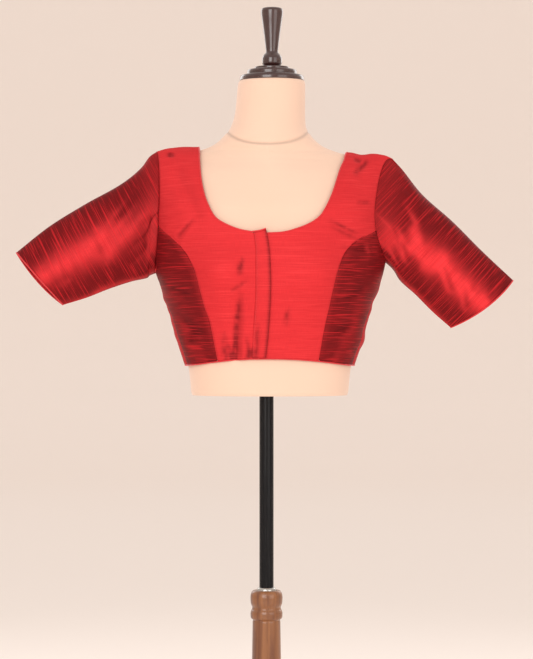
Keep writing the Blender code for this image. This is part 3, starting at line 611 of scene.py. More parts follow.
def half_width_at(s):
    """Past the armpit the body widens a little towards the shoulder."""
    over = max(0.0, s - ARMPIT_LEVEL) / (SHOULDER_TOP - ARMPIT_LEVEL)
    return BODY_TRACKS["half_width"].at(min(s, ARMPIT_LEVEL)) * (1 + SHOULDER_FLARE * over**2)


def body_surface(theta, s):
    """The outer face of the cloth, before its folds."""
    x = BODY_CENTRE + half_width_at(s) * power(cos(theta), 2 / ROUNDNESS)
    across = power(sin(theta), 2 / ROUNDNESS)
    depth = BODY_TRACKS["front" if across > 0 else "back"].at(min(s, ARMPIT_LEVEL))
    z = s
    if s > ARMPIT_LEVEL:
        over = (s - ARMPIT_LEVEL) / (SHOULDER_TOP - ARMPIT_LEVEL) * pi / 2
        z = ARMPIT_LEVEL + (SHOULDER_TRACK.at(x) - ARMPIT_LEVEL) * sin(over) ** (2 / SHOULDER_ROUNDNESS)
        depth *= max(0.0, cos(over)) ** (2 / SHOULDER_ROUNDNESS)
    y = -depth * across
    if across > 0:
        y -= cup_rise(CUPS, x, z) * across**2
    return Vector((x, y, z))


def body_normal(theta, s):
    """The way straight out of the cloth, from steps to both sides. On the shoulder line it points up."""
    step, rise = 0.02, 2.0
    around = body_surface(theta + step, s) - body_surface(theta - step, s)
    if s >= SHOULDER_TOP - 1:
        level = SHOULDER_TOP - rise
        normal = (body_surface(-abs(theta), level) - body_surface(abs(theta), level)).cross(around)
        return normal.normalized() if normal.z > 0 else -normal.normalized()
    up = body_surface(theta, min(s + rise, SHOULDER_TOP)) - body_surface(theta, s - rise)
    return up.cross(around).normalized()


def body_point(theta, s, out=0.0):
    """A point out from the outer face, with the largest folds of the front and like ones behind."""
    point = body_surface(theta, s)
    sink = fold_depth(BODY_FOLDS, point.x if point.y < 0 else -point.x, point.z)
    return point + body_normal(theta, s) * (out - sink * min(1.0, abs(point.y) / FOLD_FADE))


def ripple(theta, s):
    """Small unevenness of hand-sewn silk, and puckers along the piped hem and the side seams."""
    across = theta * MM_A_RADIAN
    soft = noise.noise(Vector((across / RIPPLE_LENGTH, s / RIPPLE_LENGTH, 1.7)))
    pucker = noise.noise(Vector((across / PUCKER_LENGTH, 0.4, 6.3)))
    near = exp(-max(0.0, s - hem_z(theta)) / PUCKER_REACH)
    seam = noise.noise(Vector((3.3 if cos(theta) > 0 else -3.3, s / SIDE_PUCKER_LENGTH, 4.2)))
    below = max(0.0, min(1.0, (SIDE_PUCKER_TOP - s) / SIDE_PUCKER_FADE))
    at_side = abs(cos(theta)) ** SIDE_PUCKER_NARROWNESS * below * (1 - near)
    side = max(0.0, seam) * SIDE_PUCKER_HEIGHT * at_side
    return soft * RIPPLE_HEIGHT * (1 - near) + pucker * PUCKER_HEIGHT * near + side


def silk_point(theta, s, out=0.0):
    """The cloth of the body with its creases and unevenness."""
    point = body_surface(theta, s)
    creases = FRONT_CREASES if point.y < 0 else BACK_CREASES
    fade = min(1.0, abs(point.y) / CREASE_FADE)
    sink = fold_depth(creases, point.x, point.z, tapered=True) * CREASE_GAIN * fade
    return body_point(theta, s, out - sink + ripple(theta, s))


def angle_at(x, s, front=True):
    """How far round the body a place of the front view lies."""
    across = max(-1.0, min(1.0, (x - BODY_CENTRE) / half_width_at(s)))
    theta = acos(power(across, ROUNDNESS / 2))
    return theta if front else -theta


def way_up(x, z):
    """The s of a place of the front view."""
    if z <= ARMPIT_LEVEL:
        return z
    height = min(1.0, (z - ARMPIT_LEVEL) / (SHOULDER_TRACK.at(x) - ARMPIT_LEVEL))
    over = acos(max(0.0, 1 - height**SHOULDER_ROUNDNESS) ** 0.5)
    return ARMPIT_LEVEL + over / (pi / 2) * (SHOULDER_TOP - ARMPIT_LEVEL)


def hem_z(theta):
    return HEM_SIDE + HEM_FRONT_RISE * max(0.0, sin(theta)) ** 3


def armhole_place(side, s, front=True):
    """Where the armhole seam crosses a level, as an angle round the body."""
    hole = ARMHOLES[side]
    level = radians(hole.front_angle if front else hole.back_angle)
    if s <= ARMPIT_LEVEL:
        down = min(1.0, (ARMPIT_LEVEL - s) / (ARMPIT_LEVEL - hole.low_z))
        theta = level * (1 - down**ARMHOLE_ROUNDNESS) ** 0.5
    else:
        up = (s - ARMPIT_LEVEL) / (SHOULDER_TOP - ARMPIT_LEVEL)
        top = angle_at(hole.shoulder_x, SHOULDER_TOP)
        top = pi - top if side == "right" else top
        theta = level + (top - level) * up**hole.lean
    theta = pi - theta if side == "right" else theta
    return theta if front else -theta


def spline(places, count, smoothness=12, across=1.0):
    """count + 1 evenly spaced places on a smooth curve through (theta, s) places.

    across weighs the level way where the spaces are measured.
    """
    scaled = [Vector((theta * MM_A_RADIAN, s)) for theta, s in places]
    ends = [2 * scaled[0] - scaled[1]] + scaled + [2 * scaled[-1] - scaled[-2]]
    fine = []
    for i in range(1, len(ends) - 2):
        a, b, c, d = ends[i - 1 : i + 3]
        for step in range(smoothness):
            t = step / smoothness
            bend = (2 * a - 5 * b + 4 * c - d) * t**2 + (3 * b - a - 3 * c + d) * t**3
            fine.append(0.5 * (2 * b + (c - a) * t + bend))
    fine.append(scaled[-1])
    return [(point.x / MM_A_RADIAN, point.y) for point in evenly(fine, count, across)]


def evenly(points, count, across=1.0):
    """count + 1 points at even distances along a chain of points; across weighs its way along x."""
    lengths = [0.0]
    for a, b in zip(points, points[1:]):
        step = b - a
        step.x *= across
        lengths.append(lengths[-1] + step.length)
    result, i = [], 0
    for k in range(count + 1):
        target = lengths[-1] * k / count
        while i < len(points) - 2 and lengths[i + 1] < target:
            i += 1
        share = (target - lengths[i]) / max(1e-9, lengths[i + 1] - lengths[i])
        result.append(points[i].lerp(points[i + 1], min(1.0, share)))
    return result


def neck_edge(side, count, across=1.0):
    """The front neckline, from the centre seam to the shoulder."""
    points = [(CENTRE_SEAM_X, NECK_CENTRE_Z)] + [(p.x, p.z) for p in NECK[side]]
    curve = spline([(x / MM_A_RADIAN, z) for x, z in points], 12 * len(points))
    points = [(x * MM_A_RADIAN, z) for x, z in curve]
    places = [(angle_at(x, way_up(x, z)), way_up(x, z)) for x, z in points]
    places.append((angle_at(NECK_SHOULDER_X[side], SHOULDER_TOP), SHOULDER_TOP))
    return spline(places, count, smoothness=1, across=across)


def back_neck_edge(side, count):
    """The back neckline, a quarter of a rounded oval from the centre back to the shoulder."""
    reach = NECK_SHOULDER_X[side] - BODY_CENTRE
    places = []
    for k in range(9):
        turn = k / 8 * pi / 2
        x = BODY_CENTRE + reach * sin(turn) ** BACK_NECK_ROUNDNESS
        z = BACK_NECK_Z + (SHOULDER_TRACK.at(x) - BACK_NECK_Z) * (1 - cos(turn) ** BACK_NECK_ROUNDNESS)
        places.append((angle_at(x, way_up(x, z), front=False), way_up(x, z)))
    places[0] = (-pi / 2, places[0][1])
    places[-1] = (angle_at(NECK_SHOULDER_X[side], SHOULDER_TOP, front=False), SHOULDER_TOP)
    return spline(places, count)


def armhole_edge(side, start_s, count, front=True, end_s=SHOULDER_TOP):
    """The armhole seam between two levels, from the lower one up."""
    ease = 2 if start_s == ARMHOLES[side].low_z else 1
    places = []
    for k in range(25):
        s = start_s + (end_s - start_s) * (k / 24) ** ease
        places.append((armhole_place(side, s, front), s))
    return spline(places, count)


def princess_edge(side, count):
    """The princess seam, from the hem up to the armhole."""
    places = []
    for row in PRINCESS:
        x = row.right_x if side == "right" else row.left_x
        z = row.z if places else hem_z(angle_at(x, row.z))
        places.append((angle_at(x, z), z))
    level = PRINCESS_TOP[side]
    places.append((armhole_place(side, level), level))
    return spline(places, count)


def side_edge(side, count):
    """The side seam: from the hem, a little to the front, up to the lowest point of the armhole."""
    low = ARMHOLES[side].low_z
    places = []
    for k in range(count + 1):
        share = k / count
        theta = radians(SIDE_SEAM_ANGLE) * (1 - share**2)
        s = hem_z(theta) + (low - hem_z(theta)) * share
        places.append((pi - theta if side == "right" else theta, s))
    return places


def patch(inner, outer, columns):
    """Rows of places between two edges that have the same number of places."""
    rows = []
    for (theta_a, s_a), (theta_b, s_b) in zip(inner, outer):
        shares = [k / columns for k in range(columns + 1)]
        rows.append([(theta_a + (theta_b - theta_a) * t, s_a + (s_b - s_a) * t) for t in shares])
    return rows


def follow_hem(rows, count):
    """Lets the first row of a patch follow the hem, and the rows above it less and less."""
    drops = [hem_z(theta) - s for theta, s in rows[0]]
    for k in range(count):
        fade = (1 - k / count) ** 2
        rows[k] = [(theta, s + drop * fade) for (theta, s), drop in zip(rows[k], drops)]
    return rows


def sewn(rows, inner, outer):
    """Rows of (theta, s, out), with a dip to the edges. inner and outer are the rows sewn at each end."""

    def dip(place, edge):
        apart = hypot((place[0] - edge[0]) * MM_A_RADIAN, place[1] - edge[1])
        return SEAM_DIP * exp(-((apart / SEAM_DIP_WIDTH) ** 2))

    result = []
    for k, row in enumerate(rows):
        line = []
        for place in row:
            out = -dip(place, row[0]) if k in inner else 0.0
            out -= dip(place, row[-1]) if k in outer else 0.0
            line.append((*place, out))
        result.append(line)
    return result


def painted_crease_shade(theta, s):
    """How deep the cloth lies in its creases at a place of the body, made uneven: the painted shade there, 0
    where it lies flat.
    """
    point = body_surface(theta, s)
    creases = FRONT_CREASES if point.y < 0 else BACK_CREASES
    deep = max(0.0, fold_depth(creases, point.x, point.z, tapered=True))
    uneven = noise.noise(Vector((point.x / 5, point.z / 9, 8.1)))
    return deep**CREASE_SHADE_POWER * (1.0 + CREASE_SHADE_UNEVENNESS * uneven)


def red_painted_light(normal, theta, s):
    """Painted light: bright nearly all over, with painted shade in the creases, on their far flanks and where
    the cloth turns aside.
    """
    tilt = (normal - body_normal(theta, s)).x
    ahead = max(0.0, 1 - normal.x**2) ** 0.5
    bright = RED_PAINTED_LIGHT.everywhere + RED_PAINTED_LIGHT.facing_front * ahead
    return bright - RED_PAINTED_LIGHT.in_creases * painted_crease_shade(theta, s) + RED_PAINTED_LIGHT.far_flank * min(0.0, tilt)


def placket_painted_light(normal, theta, s):
    """Painted light like the fronts, with a painted shadow along its free edge, where it rolls under."""
    past = (body_surface(theta, s).x - PLACKET_TRACKS["edge_x"].at(s)) / PLACKET_SHADOW_WIDTH
    return red_painted_light(normal, theta, s) - RED_PAINTED_LIGHT.rolled_edge * exp(-(past**2))


def side_painted_light(normal, theta, s):
    """Painted light: mostly dark, a painted highlight on the flanks that turn to the front and up, painted
    shade in the creases.
    """
    tilt = normal - body_normal(theta, s)
    flanks = SIDE_PAINTED_LIGHT.turned_to_front * max(0.0, -tilt.y) + SIDE_PAINTED_LIGHT.turned_up * max(0.0, tilt.z)
    return SIDE_PAINTED_LIGHT.everywhere + flanks - SIDE_PAINTED_LIGHT.in_creases * painted_crease_shade(theta, s)


def sleeve_axis(side):
    """The way along the sleeve in front view, from its cap to its cuff."""
    row, last = SLEEVES[side][1], SLEEVES[side][-1]
    along = Vector((last.top_x + last.low_x, 0, last.top_z + last.low_z))
    return (along - Vector((row.top_x + row.low_x, 0, row.top_z + row.low_z))).normalized()


def sleeve_painted_light(side):
    """Painted highlights: a broad gleam along the middle of the sleeve, a narrow one below it and a weak one
    on its cap.
    """
    axis = sleeve_axis(side)
    up = Vector((-axis.z, 0, axis.x)) * sign(side)

    def gleam(band, place):
        return band.share * exp(-(((place - band.height) / band.width) ** 2))

    def lustre(normal, turn, along):
        height = normal.dot(up)
        growth = MIDDLE_AT_CAP + (1 - MIDDLE_AT_CAP) * min(1.0, along * MIDDLE_GROWTH)
        middle = gleam(SLEEVE_MIDDLE[side], height) * growth
        return SLEEVE_DULL + middle + gleam(SLEEVE_EDGE, height) + gleam(SLEEVE_CAP, along) * max(0.0, height)

    return lustre


def body_grain(theta, s):
    """The weft lies level and the warp upright, in metres."""
    return theta * MM_A_RADIAN * MM, s * MM


def cloth(name, grids, point, grain, lustre, thickness, weld=1e-6):
    """A sheet of cloth over grids of places, with its wall on the inside.

    point gives a place in millimetres, grain the weave's own map, and the next function the painted highlight
    and painted shade kept at each point.
    """
    bm = bmesh.new()
    weave = bm.loops.layers.uv.new("weave")
    # Each point keeps its painted highlight and painted shade, from 0 to 1, which the silk's colour follows
    painted_shine = bm.verts.layers.float.new("lustre")
    for rows in grids:
        high, wide = len(rows) - 1, len(rows[0]) - 1
        made = bmesh.ops.create_grid(bm, x_segments=wide, y_segments=high, size=0.5)["verts"]
        places = {}
        for vert in made:
            column, row = round((vert.co.x + 0.5) * wide), round((vert.co.y + 0.5) * high)
            places[vert] = rows[row][column]
            vert.co = point(*places[vert]) * MM
        for face in {face for vert in made for face in vert.link_faces}:
            for loop in face.loops:
                loop[weave].uv = grain(*places[loop.vert][:2])
        first = rows[high // 2][wide // 2]
        middle = min(made, key=lambda vert: (vert.co - point(*first) * MM).length)
        outwards = point(first[0], first[1], 5.0) - point(first[0], first[1], 0.0)
        face = middle.link_faces[0]
        face.normal_update()
        if face.normal.dot(outwards) < 0:
            bmesh.ops.reverse_faces(bm, faces=list({face for vert in made for face in vert.link_faces}))
        bm.normal_update()
        for vert in made:
            vert[painted_shine] = max(0.0, min(1.0, lustre(vert.normal, *places[vert][:2])))
    bmesh.ops.remove_doubles(bm, verts=bm.verts, dist=weld)
    obj = new_object(name, bm)
    smooth = obj.modifiers.new("smooth", "SUBSURF")
    smooth.levels = smooth.render_levels = 1
    wall = obj.modifiers.new("wall", "SOLIDIFY")
    wall.thickness = thickness
    wall.offset = -1
    wall.use_even_offset = False
    return obj


def new_object(name, bm):
    """An object at the origin, shaded smooth, from a mesh in metres."""
    mesh = bpy.data.meshes.new(name)
    bm.to_mesh(mesh)
    bm.free()
    mesh.shade_smooth()
    obj = bpy.data.objects.new(name, mesh)
    bpy.context.scene.collection.objects.link(obj)
    return obj


def finish_piece(obj, body, node, material):
    """Gives a piece its material and its body, and hides the solid that it stands for."""
    obj.data.materials.append(material)
    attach(obj, body)
    if node:
        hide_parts(node)
    return obj


def tube(name, points, radius, closed):
    """A round tube through points in millimetres."""
    curve = bpy.data.curves.new(name, "CURVE")
    curve.dimensions = "3D"
    curve.bevel_depth = radius
    curve.bevel_resolution = 3
    curve.use_fill_caps = True
    line = curve.splines.new("POLY")
    line.points.add(len(points) - 1)
    for spot, point in zip(line.points, points):
        spot.co = (*(point * MM), 1)
    line.use_cyclic_u = closed
    line.use_smooth = True
    obj = bpy.data.objects.new(name, curve)
    bpy.context.scene.collection.objects.link(obj)
    return obj


def rounded(profile):
    """The points of a turned profile with its corners rounded, as (radius, z)."""
    points = [Vector((p.radius, p.z)) for p in profile]
    result = []
    for k, (point, row) in enumerate(zip(points, profile)):
        if k in (0, len(points) - 1) or not row.soft:
            result.append(point)
            continue
        before, after = points[k - 1] - point, points[k + 1] - point
        start = point + before.normalized() * min(row.soft, before.length * 0.49)
        end = point + after.normalized() * min(row.soft, after.length * 0.49)
        for step in range(CORNER_STEPS + 1):
            t = step / CORNER_STEPS
            result.append(start * (1 - t) ** 2 + point * 2 * t * (1 - t) + end * t * t)
    return result


def turned(name, profile, centre=(0, 0)):
    """A piece turned on the lathe: its rounded profile spun about an upright axis."""
    bm = bmesh.new()
    corners = [bm.verts.new((point.x, 0, point.y)) for point in rounded(profile)]
    edges = [bm.edges.new(pair) for pair in zip(corners, corners[1:])]
    spin = {"axis": (0, 0, 1), "cent": (0, 0, 0), "angle": 2 * pi, "steps": ROUND_SIDES}
    bmesh.ops.spin(bm, geom=corners + edges, use_merge=True, **spin)
    bmesh.ops.remove_doubles(bm, verts=bm.verts, dist=1e-3)
    bmesh.ops.translate(bm, vec=(*centre, 0), verts=bm.verts)
    bmesh.ops.scale(bm, vec=(MM, MM, MM), verts=bm.verts)
    bmesh.ops.recalc_face_normals(bm, faces=bm.faces)
    obj = new_object(name, bm)
    obj.data.set_sharp_from_angle(angle=radians(50))
    return obj


def add_node(tree, kind, settings=None, output=0, **links):
    """Adds a node with its settings and gives one of its outputs.

    A link is named for its socket, or i and the socket's number. Its value is an output to join, or a number
    or colour to set.
    """
    node = tree.nodes.new(kind)
    for key, value in (settings or {}).items():
        setattr(node, key, value)
    for key, value in links.items():
        name = key.replace("_", " ")
        socket = node.inputs[int(name[1:])] if name[0] == "i" and name[1:].isdigit() else node.inputs[name]
        if isinstance(value, bpy.types.NodeSocket):
            tree.links.new(value, socket)
        else:
            socket.default_value = value
    return node.outputs[output]


def overlaid(tree, colour, *layers):
    """A colour with others laid over it, each where its pattern shows and as strongly as its share."""
    for pattern, share, tint in layers:
        shown = add_node(tree, "ShaderNodeMath", {"operation": "MULTIPLY"}, i0=pattern, i1=share)
        colour = add_node(tree, "ShaderNodeMix", {"data_type": "RGBA"}, 2, i0=shown, i6=colour, i7=tint)
    return colour


def summed(tree, total, *parts):
    """A pattern with others added to it, each times its share."""
    for pattern, share in parts:
        settings = {"operation": "MULTIPLY_ADD"}
        total = add_node(tree, "ShaderNodeMath", settings, i0=pattern, i1=share, i2=total)
    return total


def new_material(name):
    """A material with its node tree and its shader."""
    material = bpy.data.materials.new(name)
    material.use_nodes = True
    tree = material.node_tree
    return material, tree, tree.nodes["Principled BSDF"]


def set_shader(shader, **values):
    for key, value in values.items():
        shader.inputs[key.replace("_", " ")].default_value = value


def join_shader(tree, shader, colour, relief=None, strength=0.3, distance=0.0003, sunk_in=False):
    """Joins a colour to the shader, and a pattern that stands out as a fine relief or is sunk in."""
    tree.links.new(colour, shader.inputs["Base Color"])
    if relief:
        settings = {"invert": sunk_in}
        bump = add_node(tree, "ShaderNodeBump", settings, Strength=strength, Distance=distance, Height=relief)
        tree.links.new(bump, shader.inputs["Normal"])


def tinted(colour, share, lift=0.0):
    """A colour made darker or lighter by a share."""
    return tuple(min(1.0, c * share + lift) for c in colour[:3]) + (1.0,)


def streaks(tree, coordinate, threads):
    """Threads that come and go along the weft, from 0 to 1."""
    place = add_node(
        tree,
        "ShaderNodeMapping",
        Vector=coordinate,
        Location=(threads.shift, threads.shift * 3.7, threads.shift),
        Scale=(1 / threads.length, 1 / threads.spacing, 1),
    )
    pattern = add_node(tree, "ShaderNodeTexNoise", Vector=place, Scale=1.0, Detail=0.6, Roughness=0.5)
    return add_node(tree, "ShaderNodeMapRange", Value=pattern, i1=threads.low, i2=threads.high)


def speckle(tree, scale, detail=2.0, stretch=None, **more):
    """A noise pattern on the piece's own coordinates. scale, or stretch, is how many spots a metre holds."""
    place = add_node(tree, "ShaderNodeTexCoord", output="Object")
    if stretch:
        place = add_node(tree, "ShaderNodeMapping", Vector=place, Scale=stretch)
    return add_node(tree, "ShaderNodeTexNoise", Vector=place, Scale=scale, Detail=detail, **more)


# The threads of dupion, in metres: their length, their spacing, and the levels of the noise where they show.
# The real weft has about 30 threads to the centimetre, too fine to show, so they are drawn 0.7 mm apart.
Threads = namedtuple("Threads", "length spacing low high shift")
SLUBS = Threads(0.095, 0.0017, 0.60, 0.70, 0.0)
THIN_SLUBS = Threads(0.060, 0.0011, 0.60, 0.72, 4.0)
FINE_WEFT = Threads(0.035, 0.0007, 0.35, 0.75, 9.0)
WARP = Threads(0.0008, 0.012, 0.35, 0.75, 2.0)
BANDS = Threads(0.12, 0.012, 0.35, 0.7, 13.0)

# What sets the two silks apart. Both are shot, so their edges turn to another colour.
Silk = namedtuple("Silk", "slub_share fine_share edge metallic roughness")
SILKS = {
    "red": Silk(0.22, 0.15, "#9E1C22", 0.1, 0.55),
    "maroon": Silk(0.75, 0.12, "#4A070C", 0.25, 0.5),
}
# The colour of the painted shade on the red silk, in its creases, on their far flanks and where it turns
# aside
RED_PAINTED_SHADE = "#7E141A"
WARP_SHARE = 0.14
EDGE_SHARE = 0.8


def raw_silk(kind, settings):
    """Dupion, a plain weave of raw silk with slubs; its colour follows the painted highlight and painted
    shade of each point.
    """
    name = f"raw_silk_{kind}"
    if name in bpy.data.materials:
        return bpy.data.materials[name]
    silk, edge = SILKS[kind], linear(SILKS[kind].edge)
    colours = {
        "red": (linear(RED_PAINTED_SHADE), settings.red, settings.red_weft),
        "maroon": (settings.maroon, settings.maroon_painted_gleam, settings.maroon_slub),
    }
    # The colours at the dark end and the bright end of the painted light, and of the slubs. The red's dark
    # end is painted shade; the maroon's bright end is a painted highlight.
    dark_end, gleam, slub = (tuple(colour) for colour in colours[kind])
    material, tree, shader = new_material(name)
    weave = add_node(tree, "ShaderNodeUVMap", {"uv_map": "weave"})
    lustre = add_node(tree, "ShaderNodeAttribute", {"attribute_name": "lustre"}, "Fac")
    slubs, thin_slubs, fine, warp, bands = (
        streaks(tree, weave, threads) for threads in (SLUBS, THIN_SLUBS, FINE_WEFT, WARP, BANDS)
    )
    threads = add_node(tree, "ShaderNodeMath", {"operation": "MAXIMUM"}, i0=slubs, i1=thin_slubs)
    uneven = summed(tree, 0.0, (fine, 0.5 * silk.slub_share), (bands, -0.3 * silk.slub_share))
    # The painted highlight and painted shade of each point, made uneven by the weave
    painted_shine = summed(tree, lustre, (uneven, lustre))
    painted_shine = add_node(tree, "ShaderNodeMapRange", Value=painted_shine, i1=0.0, i2=1.05)
    facing = add_node(tree, "ShaderNodeLayerWeight", output="Facing", Blend=0.22)
    colour = overlaid(
        tree,
        dark_end,
        (painted_shine, 1.0, gleam),
        (fine, silk.fine_share, slub),
        (warp, WARP_SHARE, edge),
        (threads, silk.slub_share, slub),
        (facing, EDGE_SHARE, edge),
    )
    join_shader(tree, shader, colour, summed(tree, threads, (fine, 0.6), (warp, 0.4)))
    set_shader(shader, Metallic=silk.metallic, Roughness=silk.roughness, Specular_IOR_Level=0.1)
    set_shader(shader, Sheen_Weight=0.05, Sheen_Roughness=0.4, Sheen_Tint=slub)
    return material


def satin_piping(colour):
    """Satin cut on the bias and rolled over a cord: smooth, with fine threads."""
    material, tree, shader = new_material("satin_bias_piping")
    threads = speckle(tree, 900.0)
    join_shader(tree, shader, overlaid(tree, tinted(colour, 0.75), (threads, 1.0, colour)), threads)
    set_shader(shader, Metallic=0.15, Roughness=0.42, Sheen_Weight=0.2)
    return material


def sewing_thread(colour):
    """Spun polyester sewing thread: a small even gloss."""
    material, tree, shader = new_material("spun_sewing_thread")
    twist = speckle(tree, 2500.0, detail=1.0)
    join_shader(tree, shader, overlaid(tree, tinted(colour, 0.6), (twist, 1.0, colour)))
    set_shader(shader, Roughness=0.5, Sheen_Weight=0.2)
    return material


def knitted_jersey(colour):
    """Cotton jersey stretched over padding: matt, with a fine knit, a soft nap and painted shade along its
    neck seam.
    """
    material, tree, shader = new_material("knitted_cotton_jersey")
    soft = speckle(tree, 9.0, detail=3.0)
    knit = speckle(tree, 700.0)
    # Painted shade along the groove of the neck seam
    seam = add_node(tree, "ShaderNodeAttribute", {"attribute_name": "seam"}, "Fac")
    shade = tuple(c * share for c, share in zip(colour[:3], (0.93, 0.88, 0.82))) + (1.0,)
    base = overlaid(tree, colour, (soft, 0.6, shade), (knit, 0.3, shade), (seam, 0.6, tinted(colour, 0.45)))
    join_shader(tree, shader, base, knit, strength=0.25)
    set_shader(shader, Roughness=0.85, Sheen_Weight=0.25, Sheen_Roughness=0.6)
    return material


def lacquered_turning(colour):
    """Turned hardwood under black-brown gloss lacquer: clear reflections, a faint red where it is thin."""
    material, tree, shader = new_material("lacquered_turning")
    rings = speckle(tree, 1.0, stretch=(60, 60, 900))
    base = overlaid(tree, colour, (rings, 1.0, tinted(colour, 2.2, 0.003)))
    join_shader(tree, shader, base, rings, strength=0.12, distance=0.0002)
    set_shader(shader, Roughness=0.28, Coat_Weight=0.7, Coat_Roughness=0.08)
    return material


def enamelled_steel(colour):
    """Drawn steel tube under black stoving enamel: glossy, with faint rub marks along it."""
    material, tree, shader = new_material("enamelled_steel_tube")
    rubs = speckle(tree, 1.0, detail=3.0, stretch=(500, 500, 12))
    join_shader(tree, shader, overlaid(tree, colour, (rubs, 1.0, tinted(colour, 1.8, 0.004))))
    worn = add_node(tree, "ShaderNodeMapRange", Value=rubs, i1=0.55, i2=0.8, i3=0.22, i4=0.42)
    tree.links.new(worn, shader.inputs["Roughness"])
    set_shader(shader, Coat_Weight=0.05, Coat_Roughness=0.15, Specular_IOR_Level=0.15)
    return material


def bright_steel():
    """Steel turned on the lathe: bright, with fine rings round it."""
    material, tree, shader = new_material("turned_bright_steel")
    rings = speckle(tree, 1.0, stretch=(40, 40, 3000))
    join_shader(tree, shader, overlaid(tree, linear("#8F8D89"), (rings, 1.0, linear("#D2D0CC"))))
    set_shader(shader, Metallic=1.0, Roughness=0.25)
    return material


def varnished_wood(light, dark):
    """Turned beech, stained brown under satin varnish: grain runs up the post, with short dark pores."""
    material, tree, shader = new_material("varnished_turned_beech")
    grain = speckle(tree, 1.0, detail=5.0, stretch=(95, 95, 5), Distortion=0.6)
    grain = add_node(tree, "ShaderNodeMapRange", Value=grain, i1=0.35, i2=0.68)
    pores = speckle(tree, 1.0, stretch=(700, 700, 60))
    pores = add_node(tree, "ShaderNodeMapRange", Value=pores, i1=0.62, i2=0.75)
    base = overlaid(tree, light, (grain, 1.0, dark), (pores, 0.5, tinted(dark, 0.5)))
    join_shader(tree, shader, base, pores, strength=0.15, sunk_in=True)
    set_shader(shader, Roughness=0.38, Coat_Weight=0.5, Coat_Roughness=0.12)
    return material


def finish_silk(obj, node, kind, settings):
    """Gives a panel its silk."""
    finish_piece(obj, "form", node, raw_silk(kind, settings))


LEVEL_START = 3


def centre_places(side):
    """The centre front, from the centre seam to the princess seam."""
    low, high, wide = (CREASE_FINENESS * count for count in (FRONT_ROWS, STRAP_ROWS, FRONT_COLUMNS))
    bottom = hem_z(angle_at(CENTRE_SEAM_X, HEM_SIDE))
    levels = [bottom + (NECK_CENTRE_Z - bottom) * k / low for k in range(low + 1)]
    inner = [(angle_at(CENTRE_SEAM_X, s), s) for s in levels] + neck_edge(side, high, NECK_LEVEL_SHARE)[1:]
    outer = princess_edge(side, low)
    outer += armhole_edge(side, outer[-1][1], high)[1:]
    rows = []
    for k, ((theta_a, s_a), (theta_b, s_b)) in enumerate(zip(inner, outer)):
        # A row leaves the centre seam level and climbs late, but runs straight at the shoulder
        flat = LEVEL_START - (LEVEL_START - 1) * max(0, k - low) / high
        shares = [c / wide for c in range(wide + 1)]
        rows.append([(theta_a + (theta_b - theta_a) * t, s_a + (s_b - s_a) * t**flat) for t in shares])
    return follow_hem(rows, low)


class CHOLI_OT_centre_fronts(bpy.types.Operator):
    """Adds the two centre fronts of red silk"""

    bl_idname = "choli.centre_fronts"
    bl_label = "Centre fronts"

    def execute(self, context):
        settings = context.scene.choli_cloth
        for side in ("right", "left"):
            rows = centre_places(side)
            rows = sewn(rows, (), range(len(rows)))
            name = f"centre_front_{side}"
            obj = cloth(name, [rows], silk_point, body_grain, red_painted_light, settings.thickness)
            finish_silk(obj, f"front_centre_{side}", "red", settings)
        return {"FINISHED"}


class CHOLI_OT_side_fronts(bpy.types.Operator):
    """Adds the side fronts of slubbed maroon silk, from the princess seams to the side seams"""

    bl_idname = "choli.side_fronts"
    bl_label = "Side fronts"

    def execute(self, context):
        settings = context.scene.choli_cloth
        for side in ("right", "left"):
            inner = princess_edge(side, FRONT_ROWS)
            outer = side_edge(side, FRONT_ROWS - SIDE_ARMHOLE_ROWS)
            outer += armhole_edge(side, ARMHOLES[side].low_z, SIDE_ARMHOLE_ROWS, end_s=inner[-1][1])[1:]
            rows = follow_hem(patch(inner, outer, SIDE_COLUMNS), FRONT_ROWS)
            rows = sewn(rows, range(len(rows)), range(len(rows)))
            name = f"side_front_{side}"
            obj = cloth(name, [rows], silk_point, body_grain, side_painted_light, settings.thickness)
            finish_silk(obj, f"front_side_{side}", "maroon", settings)
        return {"FINISHED"}


class CHOLI_OT_back(bpy.types.Operator):
    """Adds the back of red silk, in one piece"""

    bl_idname = "choli.back"
    bl_label = "Back"

    def execute(self, context):
        settings = context.scene.choli_cloth
        bottom, top = hem_z(-pi / 2), way_up(BODY_CENTRE, BACK_NECK_Z)
        levels = [bottom + (top - bottom) * k / BACK_ROWS for k in range(BACK_ROWS + 1)]
        grids = []
        for side in ("right", "left"):
            inner = [(-pi / 2, s) for s in levels] + back_neck_edge(side, STRAP_ROWS)[1:]
            outer = side_edge(side, BACK_ROWS + STRAP_ROWS - SLEEVE_SIDES // 2)
            outer += armhole_edge(side, ARMHOLES[side].low_z, SLEEVE_SIDES // 2, front=False)[1:]
            outer = [(theta - 2 * pi if theta > pi / 2 else theta, s) for theta, s in outer]
            rows = follow_hem(patch(inner, outer, BACK_COLUMNS), BACK_ROWS)
            grids.append(sewn(rows, (), range(len(rows))))
        obj = cloth("back", grids, silk_point, body_grain, red_painted_light, settings.thickness)
        finish_silk(obj, "back_panel", "red", settings)
        return {"FINISHED"}


def placket_place(across, up):
    """A place on the placket, from its stitched seam to its free edge and from the hem to its top."""
    top = PLACKET_TOP["seam"] + (PLACKET_TOP["edge"] - PLACKET_TOP["seam"]) * across**2
    bottom = hem_z(pi / 2) + PLACKET_HEM_GAP
    z = bottom + (top - bottom) * up
    seam, edge = PLACKET_TRACKS["seam_x"].at(z), PLACKET_TRACKS["edge_x"].at(z)
    rise = PLACKET_OUT["seam"] + (PLACKET_OUT["middle"] - PLACKET_OUT["seam"]) * (1 - exp(-6 * across))
    rise += (PLACKET_OUT["edge"] - PLACKET_OUT["middle"]) * across**3
    return angle_at(seam + (edge - seam) * across, z), z, rise


